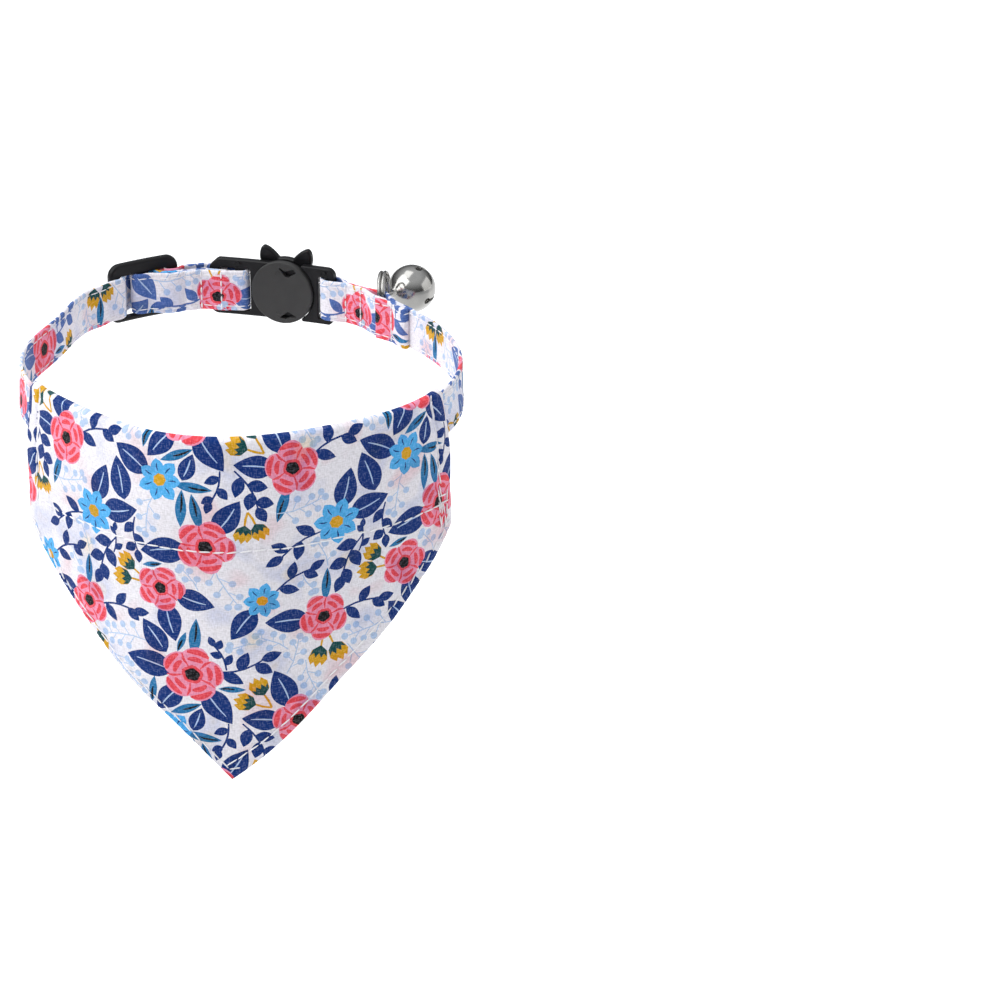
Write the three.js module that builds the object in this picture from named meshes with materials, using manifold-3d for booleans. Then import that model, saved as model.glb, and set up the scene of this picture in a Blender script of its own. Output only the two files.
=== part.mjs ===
// Cat collar with a bandana on it: a narrow cotton strap with a breakaway buckle, a slider and a small bell,
// run through the sleeve at the top of a triangular bandana. It stands open, as round a neck.
// Millimetres. +Z is up, the bandana hangs at -Y, and the origin is the middle of the neck.
import * as THREE from 'three';
import { mergeVertices } from 'three/addons/utils/BufferGeometryUtils.js';
import Module from 'manifold-3d';

const wasm = await Module();
wasm.setup();

const gap = 0.3; // between cloth and what it passes

// The collar from above, counterclockwise from the middle of the bandana: each stretch runs on for its
// length while the strap turns by its turn, in degrees. The lengths add up to the whole loop.
const loopStretches = [
  { place: 'bandana, middle right', length: 16, turn: 22 },
  { place: 'bandana, right', length: 24, turn: 14 },
  { place: 'bandana, right end', length: 18, turn: 27 },
  { place: 'right shoulder', length: 26, turn: 33 },
  { place: 'right side', length: 30, turn: 32 },
  { place: 'bell', length: 22, turn: 5 },
  { place: 'right of the buckle', length: 10, turn: 27 },
  { place: 'buckle', length: 34, turn: 12 },
  { place: 'between buckle and slider', length: 9, turn: 28 },
  { place: 'slider', length: 18, turn: 31 },
  { place: 'left of the slider', length: 16, turn: 30 },
  { place: 'left back', length: 20, turn: -10 },
  { place: 'left side', length: 20, turn: 27 },
  { place: 'left shoulder', length: 24, turn: 34 },
  { place: 'bandana, left end', length: 27, turn: 12 },
  { place: 'bandana, left', length: 22, turn: 36 },
];
const loopStart = new THREE.Vector2(-2.5, -52.8);
const loopStartTurn = -2.3; // degrees
const loopStep = 0.5;
const stiffness = 4; // a bend is spread this far each way

// Strap
const strapWidth = 10.6;
const strapThickness = 1;
const strapEdge = 0.3; // its edges are rounded by this much
const farthestApart = 6; // stations along a run of strap
const sharpestTurn = 13; // degrees from one station to the next
const strapLean = 8; // degrees, bottom edge outwards, where the bandana holds it
const leanRunOut = 26; // past the bandana, over which the strap stands upright again

// Bandana
const bandanaMiddle = 1.5; // along the loop
const bandanaWidth = 118;
const bandanaSide = { left: 35.2, right: 34.2 };
const bandanaDrop = 86.5;
const bandanaColumns = 30;
const clothWall = 1;
const stitchDrop = 27;
const tunnelDrop = 23;
const foldAbove = strapWidth / 2 + gap + clothWall; // from the strap's middle up to the fold
const sleeveEases = strapWidth + 2.2; // down from the fold, where the sleeve begins to close below the strap
const panelHalf = 0.6 * clothWall;
const hem = { height: 0.3, share: 0.6 }; // the lowest edge is thinner
const panelLean = -1.5; // degrees below the sleeve
const tipCurl = 2;
const sideBow = { left: -20, right: 7 }; // the left slanting side is a little hollow, the right one swells
const foldsGrow = { from: 12, to: 60, gather: 0.35 }; // the folds deepen and draw together on the way down
const softFolds = [
  { across: -34, width: 17, depth: 1.1 },
  { across: -12, width: 13, depth: -0.9 },
  { across: 9, width: 14, depth: 0.9 },
  { across: 33, width: 18, depth: -1.0 },
];

// Black plastic
const hardwareHeight = 14.8;
const hardwareRise = 0.5; // its middle above the strap's
const slotHeight = strapWidth + 2 * gap;
const slotRise = 0;
const barThickness = 2;
const plasticRound = 0.35;
const slotCorner = 0.5;
const slider = {
  at: 196.4,
  bendRadius: 90,
  length: 19,
  height: 15.4,
  rise: 0.8,
  corner: 2.8,
  slotCorner: 0.7,
  endBar: 2.3,
  middleBar: 2.6,
};
const buckle = {
  at: 159.6,
  bendRadius: 180,
  discRadius: 8.15,
  discInner: -1.9, // face towards the neck
  discOuter: 1.4, // inner face of the plate with the ears
  plate: 1.7,
  plateRound: 0.3,
  earPlate: 1.9,
  earRound: 0.4,
  coreInset: 0.7,
  coreSink: 0.6, // how far the core reaches into either plate
  leftCorner: 1.6,
  rightCorner: 0.8,
  leftSlot: 7.8,
  leftBar: 10.4,
  leftBarEnd: 12.6,
  leftEndBar: 16.8,
  leftEnd: 19.3,
  rightYoke: 8.5,
  rightSlot: 9.45,
  rightBar: 11.7,
  rightEnd: 13.8,
  wingTip: 6.2, // the right frame reaches on past the disc above and below it
  wingHeight: 1.6,
  tongueHeight: 8,
  tongueTip: 3,
  tongueInner: -0.4,
  tongueOuter: 0.8,
  tongueRoom: 0.4, // round the tongue
  yokeRoom: 1.3, // from the middle out to either plate, beside the right frame
  catchDepth: 1.3, // of the V-shaped holes
};

// Bell, and the ring that holds it: the ring goes through the strap, over the top and down behind it.
const ringWire = 0.65; // radius
const ringHole = { along: 3, through: 2.4, height: 4.4 };
const ringPlace = {
  at: 131,
  out: 0.1,
  rise: 4.3,
  top: new THREE.Vector3(31.9, 44.8, 8.5),
  far: new THREE.Vector3(33.3, 49.2, 1.4),
};
const bell = {
  hang: new THREE.Vector3(-0.722, -0.688, 0.075), // from its middle to where it hangs on the ring
  radius: 6,
  wall: 0.7,
  slot: 0.9,
  slotReach: 88, // degrees up from the lowest point
  slotTurn: 52, // degrees
  hole: 0.85,
  bailRadius: 2.3,
  bailWire: 0.55,
  bailSink: 0.2,
  neck: { top: 1.1, foot: 1.9, height: 1.2, sink: 0.1 },
  pelletRadius: 1.6,
};

// ---- the loop that everything is laid along

const radians = THREE.MathUtils.degToRad;

function spread(values, reach) {
  const count = values.length;
  return values.map((_, i) => {
    let sum = 0;
    for (let k = -reach; k <= reach; k += 1) sum += values[(i + k + count) % count];
    return sum / (2 * reach + 1);
  });
}

function layLoop() {
  const total = loopStretches.reduce((sum, row) => sum + row.length, 0);
  const count = Math.round(total / loopStep);
  let bend = [];
  let end = 0;
  for (const row of loopStretches) {
    end += row.length;
    while (bend.length < count && (bend.length + 0.5) * loopStep < end) bend.push(row.turn / row.length);
  }
  const reach = Math.round(stiffness / loopStep);
  bend = spread(spread(bend, reach), reach);
  const points = [loopStart.clone()];
  const turns = [radians(loopStartTurn)];
  for (let i = 0; i < count; i += 1) {
    const turn = turns[i] + radians(bend[i] * loopStep);
    const middle = (turns[i] + turn) / 2;
    const step = new THREE.Vector2(Math.cos(middle), Math.sin(middle)).multiplyScalar(loopStep);
    turns.push(turn);
    points.push(points[i].clone().add(step));
  }
  const open = points[count].clone().sub(points[0]);
  points.forEach((point, i) => point.addScaledVector(open, -i / count));
  return { total, count, points, turns };
}

const loop = layLoop();

function onLoop(along) {
  const place = (((along % loop.total) + loop.total) % loop.total) / loopStep;
  const i = Math.min(Math.floor(place), loop.count - 1);
  return {
    point: loop.points[i].clone().lerp(loop.points[i + 1], place - i),
    turn: THREE.MathUtils.lerp(loop.turns[i], loop.turns[i + 1], place - i),
  };
}

function outwards(turn) {
  return new THREE.Vector2(Math.sin(turn), -Math.cos(turn));
}

// A rigid piece of hardware lies on an arc of its own: along it, and out from it.
function arcAt(at, bendRadius) {
  const { point, turn } = onLoop(at);
  return (along, out) => {
    const angle = along / bendRadius;
    const centre = point.clone().addScaledVector(outwards(turn), -bendRadius);
    return centre.addScaledVector(outwards(turn + angle), bendRadius + out);
  };
}

const places = {
  loop: (at, out) => {
    const { point, turn } = onLoop(at);
    return point.addScaledVector(outwards(turn), out);
  },
  slider: arcAt(slider.at, slider.bendRadius),
  buckle: arcAt(buckle.at, buckle.bendRadius),
};

// ---- solids

function solid(geometry) {
  const bare = geometry.clone();
  bare.deleteAttribute('normal');
  bare.deleteAttribute('uv');
  const merged = mergeVertices(bare, 1e-4);
  return new wasm.Manifold(new wasm.Mesh({
    numProp: 3,
    vertProperties: new Float32Array(merged.attributes.position.array),
    triVerts: new Uint32Array(merged.index.array),
  }));
}

function geometryOf(manifold) {
  const mesh = manifold.getMesh();
  const geometry = new THREE.BufferGeometry();
  geometry.setAttribute('position', new THREE.BufferAttribute(new Float32Array(mesh.vertProperties), 3));
  geometry.setIndex(new THREE.BufferAttribute(new Uint32Array(mesh.triVerts), 1));
  return geometry;
}

// A skin over rings of equally many points, with flat ends.
function loft(rings) {
  const across = rings[0].length;
  const positions = rings.flat().flatMap((point) => [point.x, point.y, point.z]);
  const triangles = [];
  for (let r = 0; r + 1 < rings.length; r += 1) {
    for (let k = 0; k < across; k += 1) {
      const a = r * across + k;
      const b = r * across + ((k + 1) % across);
      triangles.push(a, b, a + across, b, b + across, a + across);
    }
  }
  const last = (rings.length - 1) * across;
  for (let k = 1; k + 1 < across; k += 1) {
    triangles.push(0, k + 1, k);
    triangles.push(last, last + k, last + k + 1);
  }
  const geometry = new THREE.BufferGeometry();
  geometry.setAttribute('position', new THREE.Float32BufferAttribute(positions, 3));
  geometry.setIndex(triangles);
  return geometry;
}

// ---- strap

function leanAt(along) {
  const fromMiddle = Math.abs(((along - bandanaMiddle + 1.5 * loop.total) % loop.total) - loop.total / 2);
  const past = (fromMiddle - bandanaWidth / 2) / leanRunOut;
  return radians(strapLean) * (1 - THREE.MathUtils.smoothstep(past, 0, 1));
}

// The strap turns back round a bar: points on a half circle, from one side of the bar to the other.
function turnBack(on, at, towards, from, radius) {
  return [-90, -45, 0, 45, 90].map((angle) => ({
    on,
    at: at + towards * radius * Math.cos(radians(angle)),
    out: from * radius * -Math.sin(radians(angle)),
  }));
}

const barTurn = barThickness / 2 + gap + strapThickness / 2;
const ringRoom = ringWire + 2 * gap + strapThickness / 2;

// The strap's way: from the sewn tail by the bell round the buckle, the neck, the slider, the buckle again.
const tailByBell = [
  { on: 'loop', at: 129.2, out: -2.5 },
  { on: 'loop', at: 126.5, out: -1.8 },
  { on: 'loop', at: 124, out: -1.2 },
  { on: 'loop', at: 121.5, out: -1.5 },
  { on: 'loop', at: 119.8, out: -1.75 },
  { on: 'loop', at: 118.8, out: -1.65 },
  { on: 'loop', at: 118.4, out: -1.15 },
  { on: 'loop', at: 118.8, out: -0.65 },
  { on: 'loop', at: 119.8, out: -0.52 },
  { on: 'loop', at: 124, out: -0.6 },
  { on: 'loop', at: 127, out: -1.05 },
  { on: 'loop', at: ringPlace.at, out: ringPlace.out - ringRoom },
  { on: 'loop', at: 134, out: -1.15 },
  { on: 'loop', at: 136.5, out: -0.75 },
  { on: 'loop', at: 141.8, out: -0.75 },
  { on: 'buckle', at: -buckle.rightEnd, out: -barTurn },
  ...turnBack('buckle', -buckle.rightBar - 0.4, 1, -1, barTurn),
  { on: 'buckle', at: -buckle.rightEnd, out: barTurn },
  { on: 'loop', at: 143.8, out: 0.9 },
  { on: 'loop', at: 141.8, out: -0.15 },
  { on: 'loop', at: 136.5, out: -0.15 },
  { on: 'loop', at: 134, out: 0.7 },
  { on: 'loop', at: ringPlace.at, out: ringPlace.out + ringRoom },
  { on: 'loop', at: 127.5, out: 0.8 },
  { on: 'loop', at: 124, out: 0 },
  { on: 'loop', at: 119, out: 0.1 },
];
const plainFrom = 114;
const plainTo = 221;
const plainStep = 6;
const weave = [
  { on: 'loop', at: 215, out: -0.3 },
  { on: 'loop', at: 210.5, out: -1.2 },
  { on: 'slider', at: 10.2, out: -1.95 },
  { on: 'slider', at: 8.4, out: -1.95 },
  { on: 'slider', at: 7.2, out: -1.85 },
  { on: 'slider', at: 6, out: -1.1 },
  { on: 'slider', at: 5.2, out: 0 },
  { on: 'slider', at: 4.6, out: 1.1 },
  { on: 'slider', at: 3.8, out: 2.2 },
  { on: 'slider', at: 2.6, out: 3 },
  { on: 'slider', at: 1, out: 3.35 },
  { on: 'slider', at: -1, out: 3.3 },
  { on: 'slider', at: -2.8, out: 2.6 },
  { on: 'slider', at: -4.2, out: 1.2 },
  { on: 'slider', at: -5.2, out: -0.2 },
  { on: 'slider', at: -6.1, out: -1.3 },
  { on: 'slider', at: -7.3, out: -1.9 },
  { on: 'slider', at: -8.8, out: -1.95 },
  { on: 'slider', at: -10.6, out: -1.3 },
  { on: 'loop', at: 183.6, out: 0.2 },
  { on: 'buckle', at: 21.6, out: 1.5 },
  { on: 'buckle', at: 19.2, out: barTurn },
  ...turnBack('buckle', buckle.leftBar + 0.4, -1, 1, barTurn),
  { on: 'buckle', at: 13.2, out: -2.15 },
  { on: 'buckle', at: 15.4, out: -2.75 },
  { on: 'buckle', at: 20.9, out: -2.8 },
  { on: 'loop', at: 184.2, out: -3.7 },
  { on: 'slider', at: -10, out: -4.7 },
  { on: 'slider', at: -7.8, out: -4.9 },
  { on: 'slider', at: -5.6, out: -4.6 },
  { on: 'slider', at: -3.8, out: -3.8 },
  { on: 'slider', at: -2.2, out: -2.65 },
  { on: 'slider', at: -0.8, out: -1.95 },
  ...turnBack('slider', slider.middleBar / 2 - 0.5, 1, -1, barTurn),
];
const tailBySlider = [
  { on: 'slider', at: slider.middleBar / 2 - 0.5, out: barTurn },
  { on: 'slider', at: -0.9, out: 1.9 },
  { on: 'slider', at: -2.1, out: 1.4 },
  { on: 'slider', at: -2.9, out: 0.3 },
  { on: 'slider', at: -3.6, out: -1 },
  { on: 'slider', at: -4.5, out: -2.3 },
  { on: 'slider', at: -5.8, out: -3.1 },
  { on: 'slider', at: -7.4, out: -3.35 },
  { on: 'slider', at: -9, out: -3.35 },
  { on: 'loop', at: 184.2, out: -2.6 },
  { on: 'buckle', at: 20.9, out: -1.95 },
  { on: 'buckle', at: 14.6, out: -1.9 },
];

function plainRun() {
  const rows = [];
  const end = plainTo - loop.total;
  const count = Math.round((plainFrom - end) / plainStep);
  for (let i = 0; i <= count; i += 1) {
    rows.push({ on: 'loop', at: THREE.MathUtils.lerp(plainFrom, end, i / count), out: 0 });
  }
  return rows;
}

// Stations along a route: close together where it bends, far apart where it is nearly straight.
function stationsOf(rows) {
  const points = rows.map((row) => {
    const place = places[row.on](row.at, row.out);
    return new THREE.Vector3(place.x, place.y, 0);
  });
  const leans = rows.map((row) => (row.on === 'loop' ? leanAt(row.at) : 0));
  const curve = new THREE.CatmullRomCurve3(points, false, 'centripetal');
  const stations = [];
  const fine = 12;
  const last = (rows.length - 1) * fine;
  for (let i = 0; i <= last; i += 1) {
    const t = i / last;
    const point = curve.getPoint(t);
    const tangent = curve.getTangent(t);
    const row = Math.min(Math.floor(i / fine), rows.length - 2);
    const lean = THREE.MathUtils.lerp(leans[row], leans[row + 1], i / fine - row);
    const before = stations[stations.length - 1];
    const far = before && point.distanceTo(before.point) > farthestApart;
    const bent = before && tangent.angleTo(before.tangent) > radians(sharpestTurn);
    if (!before || far || bent || i === last) stations.push({ point, tangent, lean });
  }
  return stations;
}

function ribbon(rows) {
  const half = strapThickness / 2;
  const tall = strapWidth / 2;
  const section = [
    [half - strapEdge, tall],
    [-half + strapEdge, tall],
    [-half, tall - strapEdge],
    [-half, -tall + strapEdge],
    [-half + strapEdge, -tall],
    [half - strapEdge, -tall],
    [half, -tall + strapEdge],
    [half, tall - strapEdge],
  ];
  const rings = stationsOf(rows).map(({ point, tangent, lean }) => {
    const side = new THREE.Vector2(-tangent.y, tangent.x); // outwards, for a strap that runs clockwise
    return section.map(([out, up]) => {
      const away = out * Math.cos(lean) - up * Math.sin(lean);
      return new THREE.Vector3(
        point.x + side.x * away,
        point.y + side.y * away,
        up * Math.cos(lean) + out * Math.sin(lean),
      );
    });
  });
  return loft(rings);
}

// The bell's ring goes into the sewn gap from above and comes out through a small hole in the outer layer.
function holeForRing() {
  const place = places.loop(ringPlace.at, ringPlace.out + ringRoom);
  const box = new THREE.BoxGeometry(ringHole.along, ringHole.through, ringHole.height);
  box.rotateZ(onLoop(ringPlace.at).turn);
  box.translate(place.x, place.y, ringPlace.rise - ringHole.height);
  return solid(box);
}

function makeStrap() {
  const whole = solid(ribbon([...tailByBell, ...plainRun(), ...weave]));
  const tail = solid(ribbon(tailBySlider));
  return geometryOf(whole.add(tail).subtract(holeForRing()));
}

// ---- bandana

function sideAt(across) {
  const share = Math.min(Math.abs(across) / (bandanaWidth / 2), 1);
  const way = across < 0 ? 'left' : 'right';
  const straight = THREE.MathUtils.lerp(bandanaDrop, bandanaSide[way], share);
  return straight + sideBow[way] * share * (1 - share) ** 2;
}

function foldsAt(across, down) {
  const grow = THREE.MathUtils.smoothstep(down, foldsGrow.from, foldsGrow.to);
  return softFolds.reduce((sum, fold) => {
    const off = (across - fold.across * (1 - foldsGrow.gather * grow)) / fold.width;
    return sum + fold.depth * Math.exp(-off * off) * grow;
  }, 0);
}

// How far out of the loop, and how high, the middle of the cloth is at this distance down from the fold.
function hang(across, down) {
  const lean = radians(strapLean);
  const step = 1;
  let out = -foldAbove * Math.sin(lean);
  let up = foldAbove * Math.cos(lean);
  const count = Math.max(1, Math.round(down / step));
  for (let i = 0; i < count; i += 1) {
    const at = ((i + 0.5) * down) / count;
    const eased = THREE.MathUtils.smoothstep(at, foldAbove + strapWidth / 2, stitchDrop + 4);
    const curl = tipCurl * THREE.MathUtils.smoothstep(at, 50, bandanaDrop);
    const angle = THREE.MathUtils.lerp(lean, radians(panelLean - curl), eased);
    out += (Math.sin(angle) * down) / count;
    up -= (Math.cos(angle) * down) / count;
  }
  return { out: out + foldsAt(across, down), up };
}

function bandanaPoint(across, down, offset) {
  const { out, up } = hang(across, down);
  const place = places.loop(bandanaMiddle + across, out + offset);
  return new THREE.Vector3(place.x, place.y, up);
}

// Half the thickness of the sleeve and panel, and of the hollow that the strap runs in.
function halfCloth(down) {
  const full = strapThickness / 2 + gap + clothWall;
  const below = THREE.MathUtils.smoothstep(down, sleeveEases, stitchDrop);
  const round = Math.sqrt(Math.min(1, down / full + 0.02));
  return THREE.MathUtils.lerp(full * round, panelHalf, below);
}

function halfTunnel(down) {
  const full = strapThickness / 2 + gap;
  return full * (1 - THREE.MathUtils.smoothstep(down, sleeveEases, tunnelDrop + 3));
}

const sleeveRows = [0, 0.5, 1.3, 4, 8, 12, 16, 20, 24];
const tunnelRows = [clothWall, 1.4, 4, 8, 12, 16, 20, tunnelDrop];
const panelShares = [0, 0.14, 0.3, 0.46, 0.62, 0.78, 0.9, 1];

function bandanaSection(across) {
  const bottom = sideAt(across);
  const downs = [...sleeveRows, ...panelShares.map((share) => stitchDrop + (bottom - stitchDrop) * share)];
  const half = (down) => halfCloth(down) * (down > bottom - hem.height ? hem.share : 1);
  const skin = (rows, halfAt, way) => rows.map((down) => bandanaPoint(across, down, way * halfAt(down)));
  const back = downs.slice(1).reverse();
  const tunnelBack = tunnelRows.slice(1, -1).reverse();
  return {
    outer: [...skin(downs, half, 1), ...skin(back, half, -1)],
    tunnel: [...skin(tunnelRows, halfTunnel, 1), ...skin(tunnelBack, halfTunnel, -1)],
  };
}

function makeBandana() {
  const columns = bandanaColumns;
  const sections = [];
  for (let c = 0; c <= columns; c += 1) sections.push(bandanaSection((c / columns - 0.5) * bandanaWidth));
  const outer = sections[0].outer.length;
  const inner = sections[0].tunnel.length;
  const each = outer + inner;
  const points = sections.flatMap((section) => [...section.outer, ...section.tunnel]);
  const positions = points.flatMap((p) => [p.x, p.y, p.z]);
  const triangles = [];
  const side = (first, count, flip) => {
    for (let c = 0; c < columns; c += 1) {
      for (let k = 0; k < count; k += 1) {
        const a = c * each + first + k;
        const b = c * each + first + ((k + 1) % count);
        if (flip) triangles.push(a, a + each, b, b, a + each, b + each);
        else triangles.push(a, b, a + each, b, b + each, a + each);
      }
    }
  };
  side(0, outer, false);
  side(outer, inner, true);
  // Each end of the sleeve is a face with the strap's hollow in it, seen in the plane of its own section.
  for (const end of [0, columns]) {
    const first = end * each;
    const flat = (ring) => {
      const origin = sections[end].outer[0];
      const out = outwards(onLoop(bandanaMiddle + (end / columns - 0.5) * bandanaWidth).turn);
      return ring.map((p) => new THREE.Vector2((p.x - origin.x) * out.x + (p.y - origin.y) * out.y, p.z));
    };
    const outline = flat(sections[end].outer);
    const hole = flat(sections[end].tunnel);
    const index = [...outline.keys()].map((k) => first + k);
    const holeIndex = [...hole.keys()].map((k) => first + outer + k);
    const faces = THREE.ShapeUtils.triangulateShape(outline, [hole]);
    const all = [...index, ...holeIndex];
    const spots = [...outline, ...hole];
    for (const [i, j, k] of faces) {
      const along = spots[j].clone().sub(spots[i]);
      const area = along.cross(spots[k].clone().sub(spots[i]));
      const facing = end === 0 ? area > 0 : area < 0;
      triangles.push(all[i], facing ? all[j] : all[k], facing ? all[k] : all[j]);
    }
  }
  const geometry = new THREE.BufferGeometry();
  geometry.setAttribute('position', new THREE.Float32BufferAttribute(positions, 3));
  geometry.setIndex(triangles);
  return geometry;
}

// ---- hardware, drawn flat (x along the collar, y up, z outwards) and then laid on its arc

// Its long edges have points between, so that they can bend.
function roundedBox(shape, x0, x1, height, rise, radius) {
  const left = x0;
  const width = x1 - x0;
  const bottom = rise - height / 2;
  const steps = Math.max(1, Math.round((width - 2 * radius) / 3));
  const edge = (from, to, y) => {
    for (let i = 1; i <= steps; i += 1) shape.lineTo(from + ((to - from) * i) / steps, y);
  };
  shape.moveTo(left + radius, bottom);
  edge(left + radius, left + width - radius, bottom);
  shape.absarc(left + width - radius, bottom + radius, radius, -Math.PI / 2, 0);
  shape.lineTo(left + width, bottom + height - radius);
  shape.absarc(left + width - radius, bottom + height - radius, radius, 0, Math.PI / 2);
  edge(left + width - radius, left + radius, bottom + height);
  shape.absarc(left + radius, bottom + height - radius, radius, Math.PI / 2, Math.PI);
  shape.lineTo(left, bottom + radius);
  shape.absarc(left + radius, bottom + radius, radius, Math.PI, Math.PI * 1.5);
  return shape;
}

function slab(shape, low, high, round = plasticRound, curveSegments = 4) {
  const geometry = new THREE.ExtrudeGeometry(shape, {
    depth: high - low - 2 * round,
    bevelEnabled: round > 0,
    bevelThickness: round,
    bevelSize: round,
    bevelOffset: -round,
    bevelSegments: 1,
    curveSegments,
  });
  geometry.translate(0, 0, low + round);
  return geometry;
}

function layOnArc(geometry, place) {
  const position = geometry.attributes.position;
  for (let i = 0; i < position.count; i += 1) {
    const spot = place(position.getX(i), position.getZ(i));
    position.setXYZ(i, spot.x, spot.y, position.getY(i));
  }
  return geometry;
}

function makeSlider() {
  const half = slider.length / 2;
  const bar = slider.middleBar / 2;
  const outline = roundedBox(new THREE.Shape(), -half, half, slider.height, slider.rise, slider.corner);
  for (const [x0, x1] of [[bar, half - slider.endBar], [slider.endBar - half, -bar]]) {
    outline.holes.push(roundedBox(new THREE.Path(), x0, x1, slotHeight, slotRise, slider.slotCorner));
  }
  const frame = slab(outline, -barThickness / 2, barThickness / 2);
  return layOnArc(geometryOf(solid(frame)), places.slider);
}

function disc(radius, low, high, round, segments) {
  const shape = new THREE.Shape().absarc(0, hardwareRise, radius, 0, Math.PI * 2);
  return solid(slab(shape, low, high, round, segments));
}

// A round plate with a cat's two ears: the ears' outer sides stand upright and their inner sides slant.
function earedDisc(low, high, round) {
  const radius = buckle.discRadius;
  const shape = new THREE.Shape();
  const innerFoot = 77; // degrees
  const outerFoot = 31;
  // x, y
  const ear = [
    [2.3, 8.5],
    [3.2, 9.4],
    [4.1, 10.1],
    [5, 10.6],
    [5.75, 10.75],
    [6.3, 10.4],
    [6.5, 9.4],
    [6.6, 7.8],
    [6.75, 6],
  ];
  shape.absarc(0, 0, radius, radians(180 - innerFoot), radians(innerFoot), true);
  for (const [x, y] of ear) shape.lineTo(x, y);
  shape.absarc(0, 0, radius, radians(outerFoot), radians(180 - outerFoot), true);
  for (const [x, y] of [...ear].reverse()) shape.lineTo(-x, y);
  const geometry = slab(shape, low, high, round, 14);
  geometry.translate(0, hardwareRise, 0);
  return solid(geometry);
}

function boxBetween([left, right], rise, height, [inner, outer]) {
  const box = new THREE.BoxGeometry(right - left, height, outer - inner);
  box.translate((left + right) / 2, rise, (inner + outer) / 2);
  return solid(box);
}

function frameOf(outline, slots) {
  for (const [x0, x1] of slots) {
    outline.holes.push(roundedBox(new THREE.Path(), x0, x1, slotHeight, slotRise, slotCorner));
  }
  return solid(slab(outline, -barThickness / 2, barThickness / 2, plasticRound, 3));
}

// The neck-side plate has a V-shaped hole above and below, through which the catch shows: corners as x, y.
const catchHoles = [
  [[0.7, 6.6], [-1.1, 5.6], [-3.1, 6.4], [-3.9, 5.5], [-1.8, 4.4], [-1.1, 4.5]],
  [[0.4, -6.7], [-1.6, -5.1], [-2.7, -5.6], [-3.8, -6.7], [-2.2, -6.1]],
];

function makeSocket() {
  const { discRadius, discInner, discOuter, coreSink } = buckle;
  const innerDisc = disc(discRadius, discInner, discInner + buckle.plate, buckle.plateRound, 36);
  const outerDisc = earedDisc(discOuter, discOuter + buckle.earPlate, buckle.earRound);
  const core = disc(discRadius - buckle.coreInset, discInner + coreSink, discOuter + coreSink, 0, 24);
  const outline = roundedBox(
    new THREE.Shape(),
    0,
    buckle.leftEnd,
    hardwareHeight,
    hardwareRise,
    buckle.leftCorner,
  );
  const frame = frameOf(outline, [
    [buckle.leftSlot, buckle.leftBar],
    [buckle.leftBarEnd, buckle.leftEndBar],
  ]);
  const tongueRoom = boxBetween(
    [-buckle.rightSlot, buckle.tongueRoom - buckle.tongueTip],
    hardwareRise,
    buckle.tongueHeight + 2 * gap,
    [buckle.tongueInner - buckle.tongueRoom, buckle.tongueOuter + buckle.tongueRoom],
  );
  const yokeRoom = boxBetween(
    [-2 * buckle.rightSlot, gap - discRadius],
    0,
    2 * hardwareHeight,
    [-buckle.yokeRoom, buckle.yokeRoom],
  );
  let whole = innerDisc.add(outerDisc).add(core).add(frame).subtract(tongueRoom).subtract(yokeRoom);
  for (const points of catchHoles) {
    const shape = new THREE.Shape(points.map(([x, y]) => new THREE.Vector2(x, y + hardwareRise)));
    whole = whole.subtract(solid(slab(shape, discInner - 1, discInner + buckle.catchDepth, 0)));
  }
  return layOnArc(geometryOf(whole), places.buckle);
}

function makeProng() {
  const outline = roundedBox(
    new THREE.Shape(),
    -buckle.rightEnd,
    -buckle.rightYoke,
    hardwareHeight,
    hardwareRise,
    buckle.rightCorner,
  );
  const frame = frameOf(outline, [[-buckle.rightBar, -buckle.rightSlot]]);
  const tongue = boxBetween(
    [-buckle.rightYoke - buckle.tongueRoom, -buckle.tongueTip],
    hardwareRise,
    buckle.tongueHeight,
    [buckle.tongueInner, buckle.tongueOuter],
  );
  let whole = frame.add(tongue);
  for (const way of [-1, 1]) {
    whole = whole.add(boxBetween(
      [-buckle.rightYoke - buckle.tongueRoom, -buckle.wingTip],
      hardwareRise + (way * (hardwareHeight - buckle.wingHeight)) / 2,
      buckle.wingHeight,
      [-barThickness / 2, barThickness / 2],
    ));
  }
  return layOnArc(geometryOf(whole), places.buckle);
}

// ---- bell and its ring

// The circle through three points, as its middle, radius and axis.
function circleThrough(a, b, c) {
  const ab = b.clone().sub(a);
  const ac = c.clone().sub(a);
  const across = ab.clone().cross(ac);
  const towardsB = across.clone().cross(ab).multiplyScalar(ac.lengthSq());
  const towardsC = ac.clone().cross(across).multiplyScalar(ab.lengthSq());
  const middle = towardsB.add(towardsC).divideScalar(2 * across.lengthSq()).add(a);
  return { middle, radius: middle.distanceTo(a), axis: across.normalize() };
}

function ringCircle() {
  const through = places.loop(ringPlace.at, ringPlace.out);
  const held = new THREE.Vector3(through.x, through.y, ringPlace.rise);
  return circleThrough(held, ringPlace.top, ringPlace.far);
}

function makeRing() {
  const { middle, radius, axis } = ringCircle();
  const geometry = new THREE.TorusGeometry(radius, ringWire, 8, 28);
  geometry.applyQuaternion(new THREE.Quaternion().setFromUnitVectors(new THREE.Vector3(0, 0, 1), axis));
  geometry.translate(middle.x, middle.y, middle.z);
  return geometryOf(solid(geometry));
}

function ball(radius, segments, rings) {
  return new THREE.SphereGeometry(radius, segments, rings);
}

const bellReach = bell.radius + bell.bailRadius - bell.bailSink;

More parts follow.
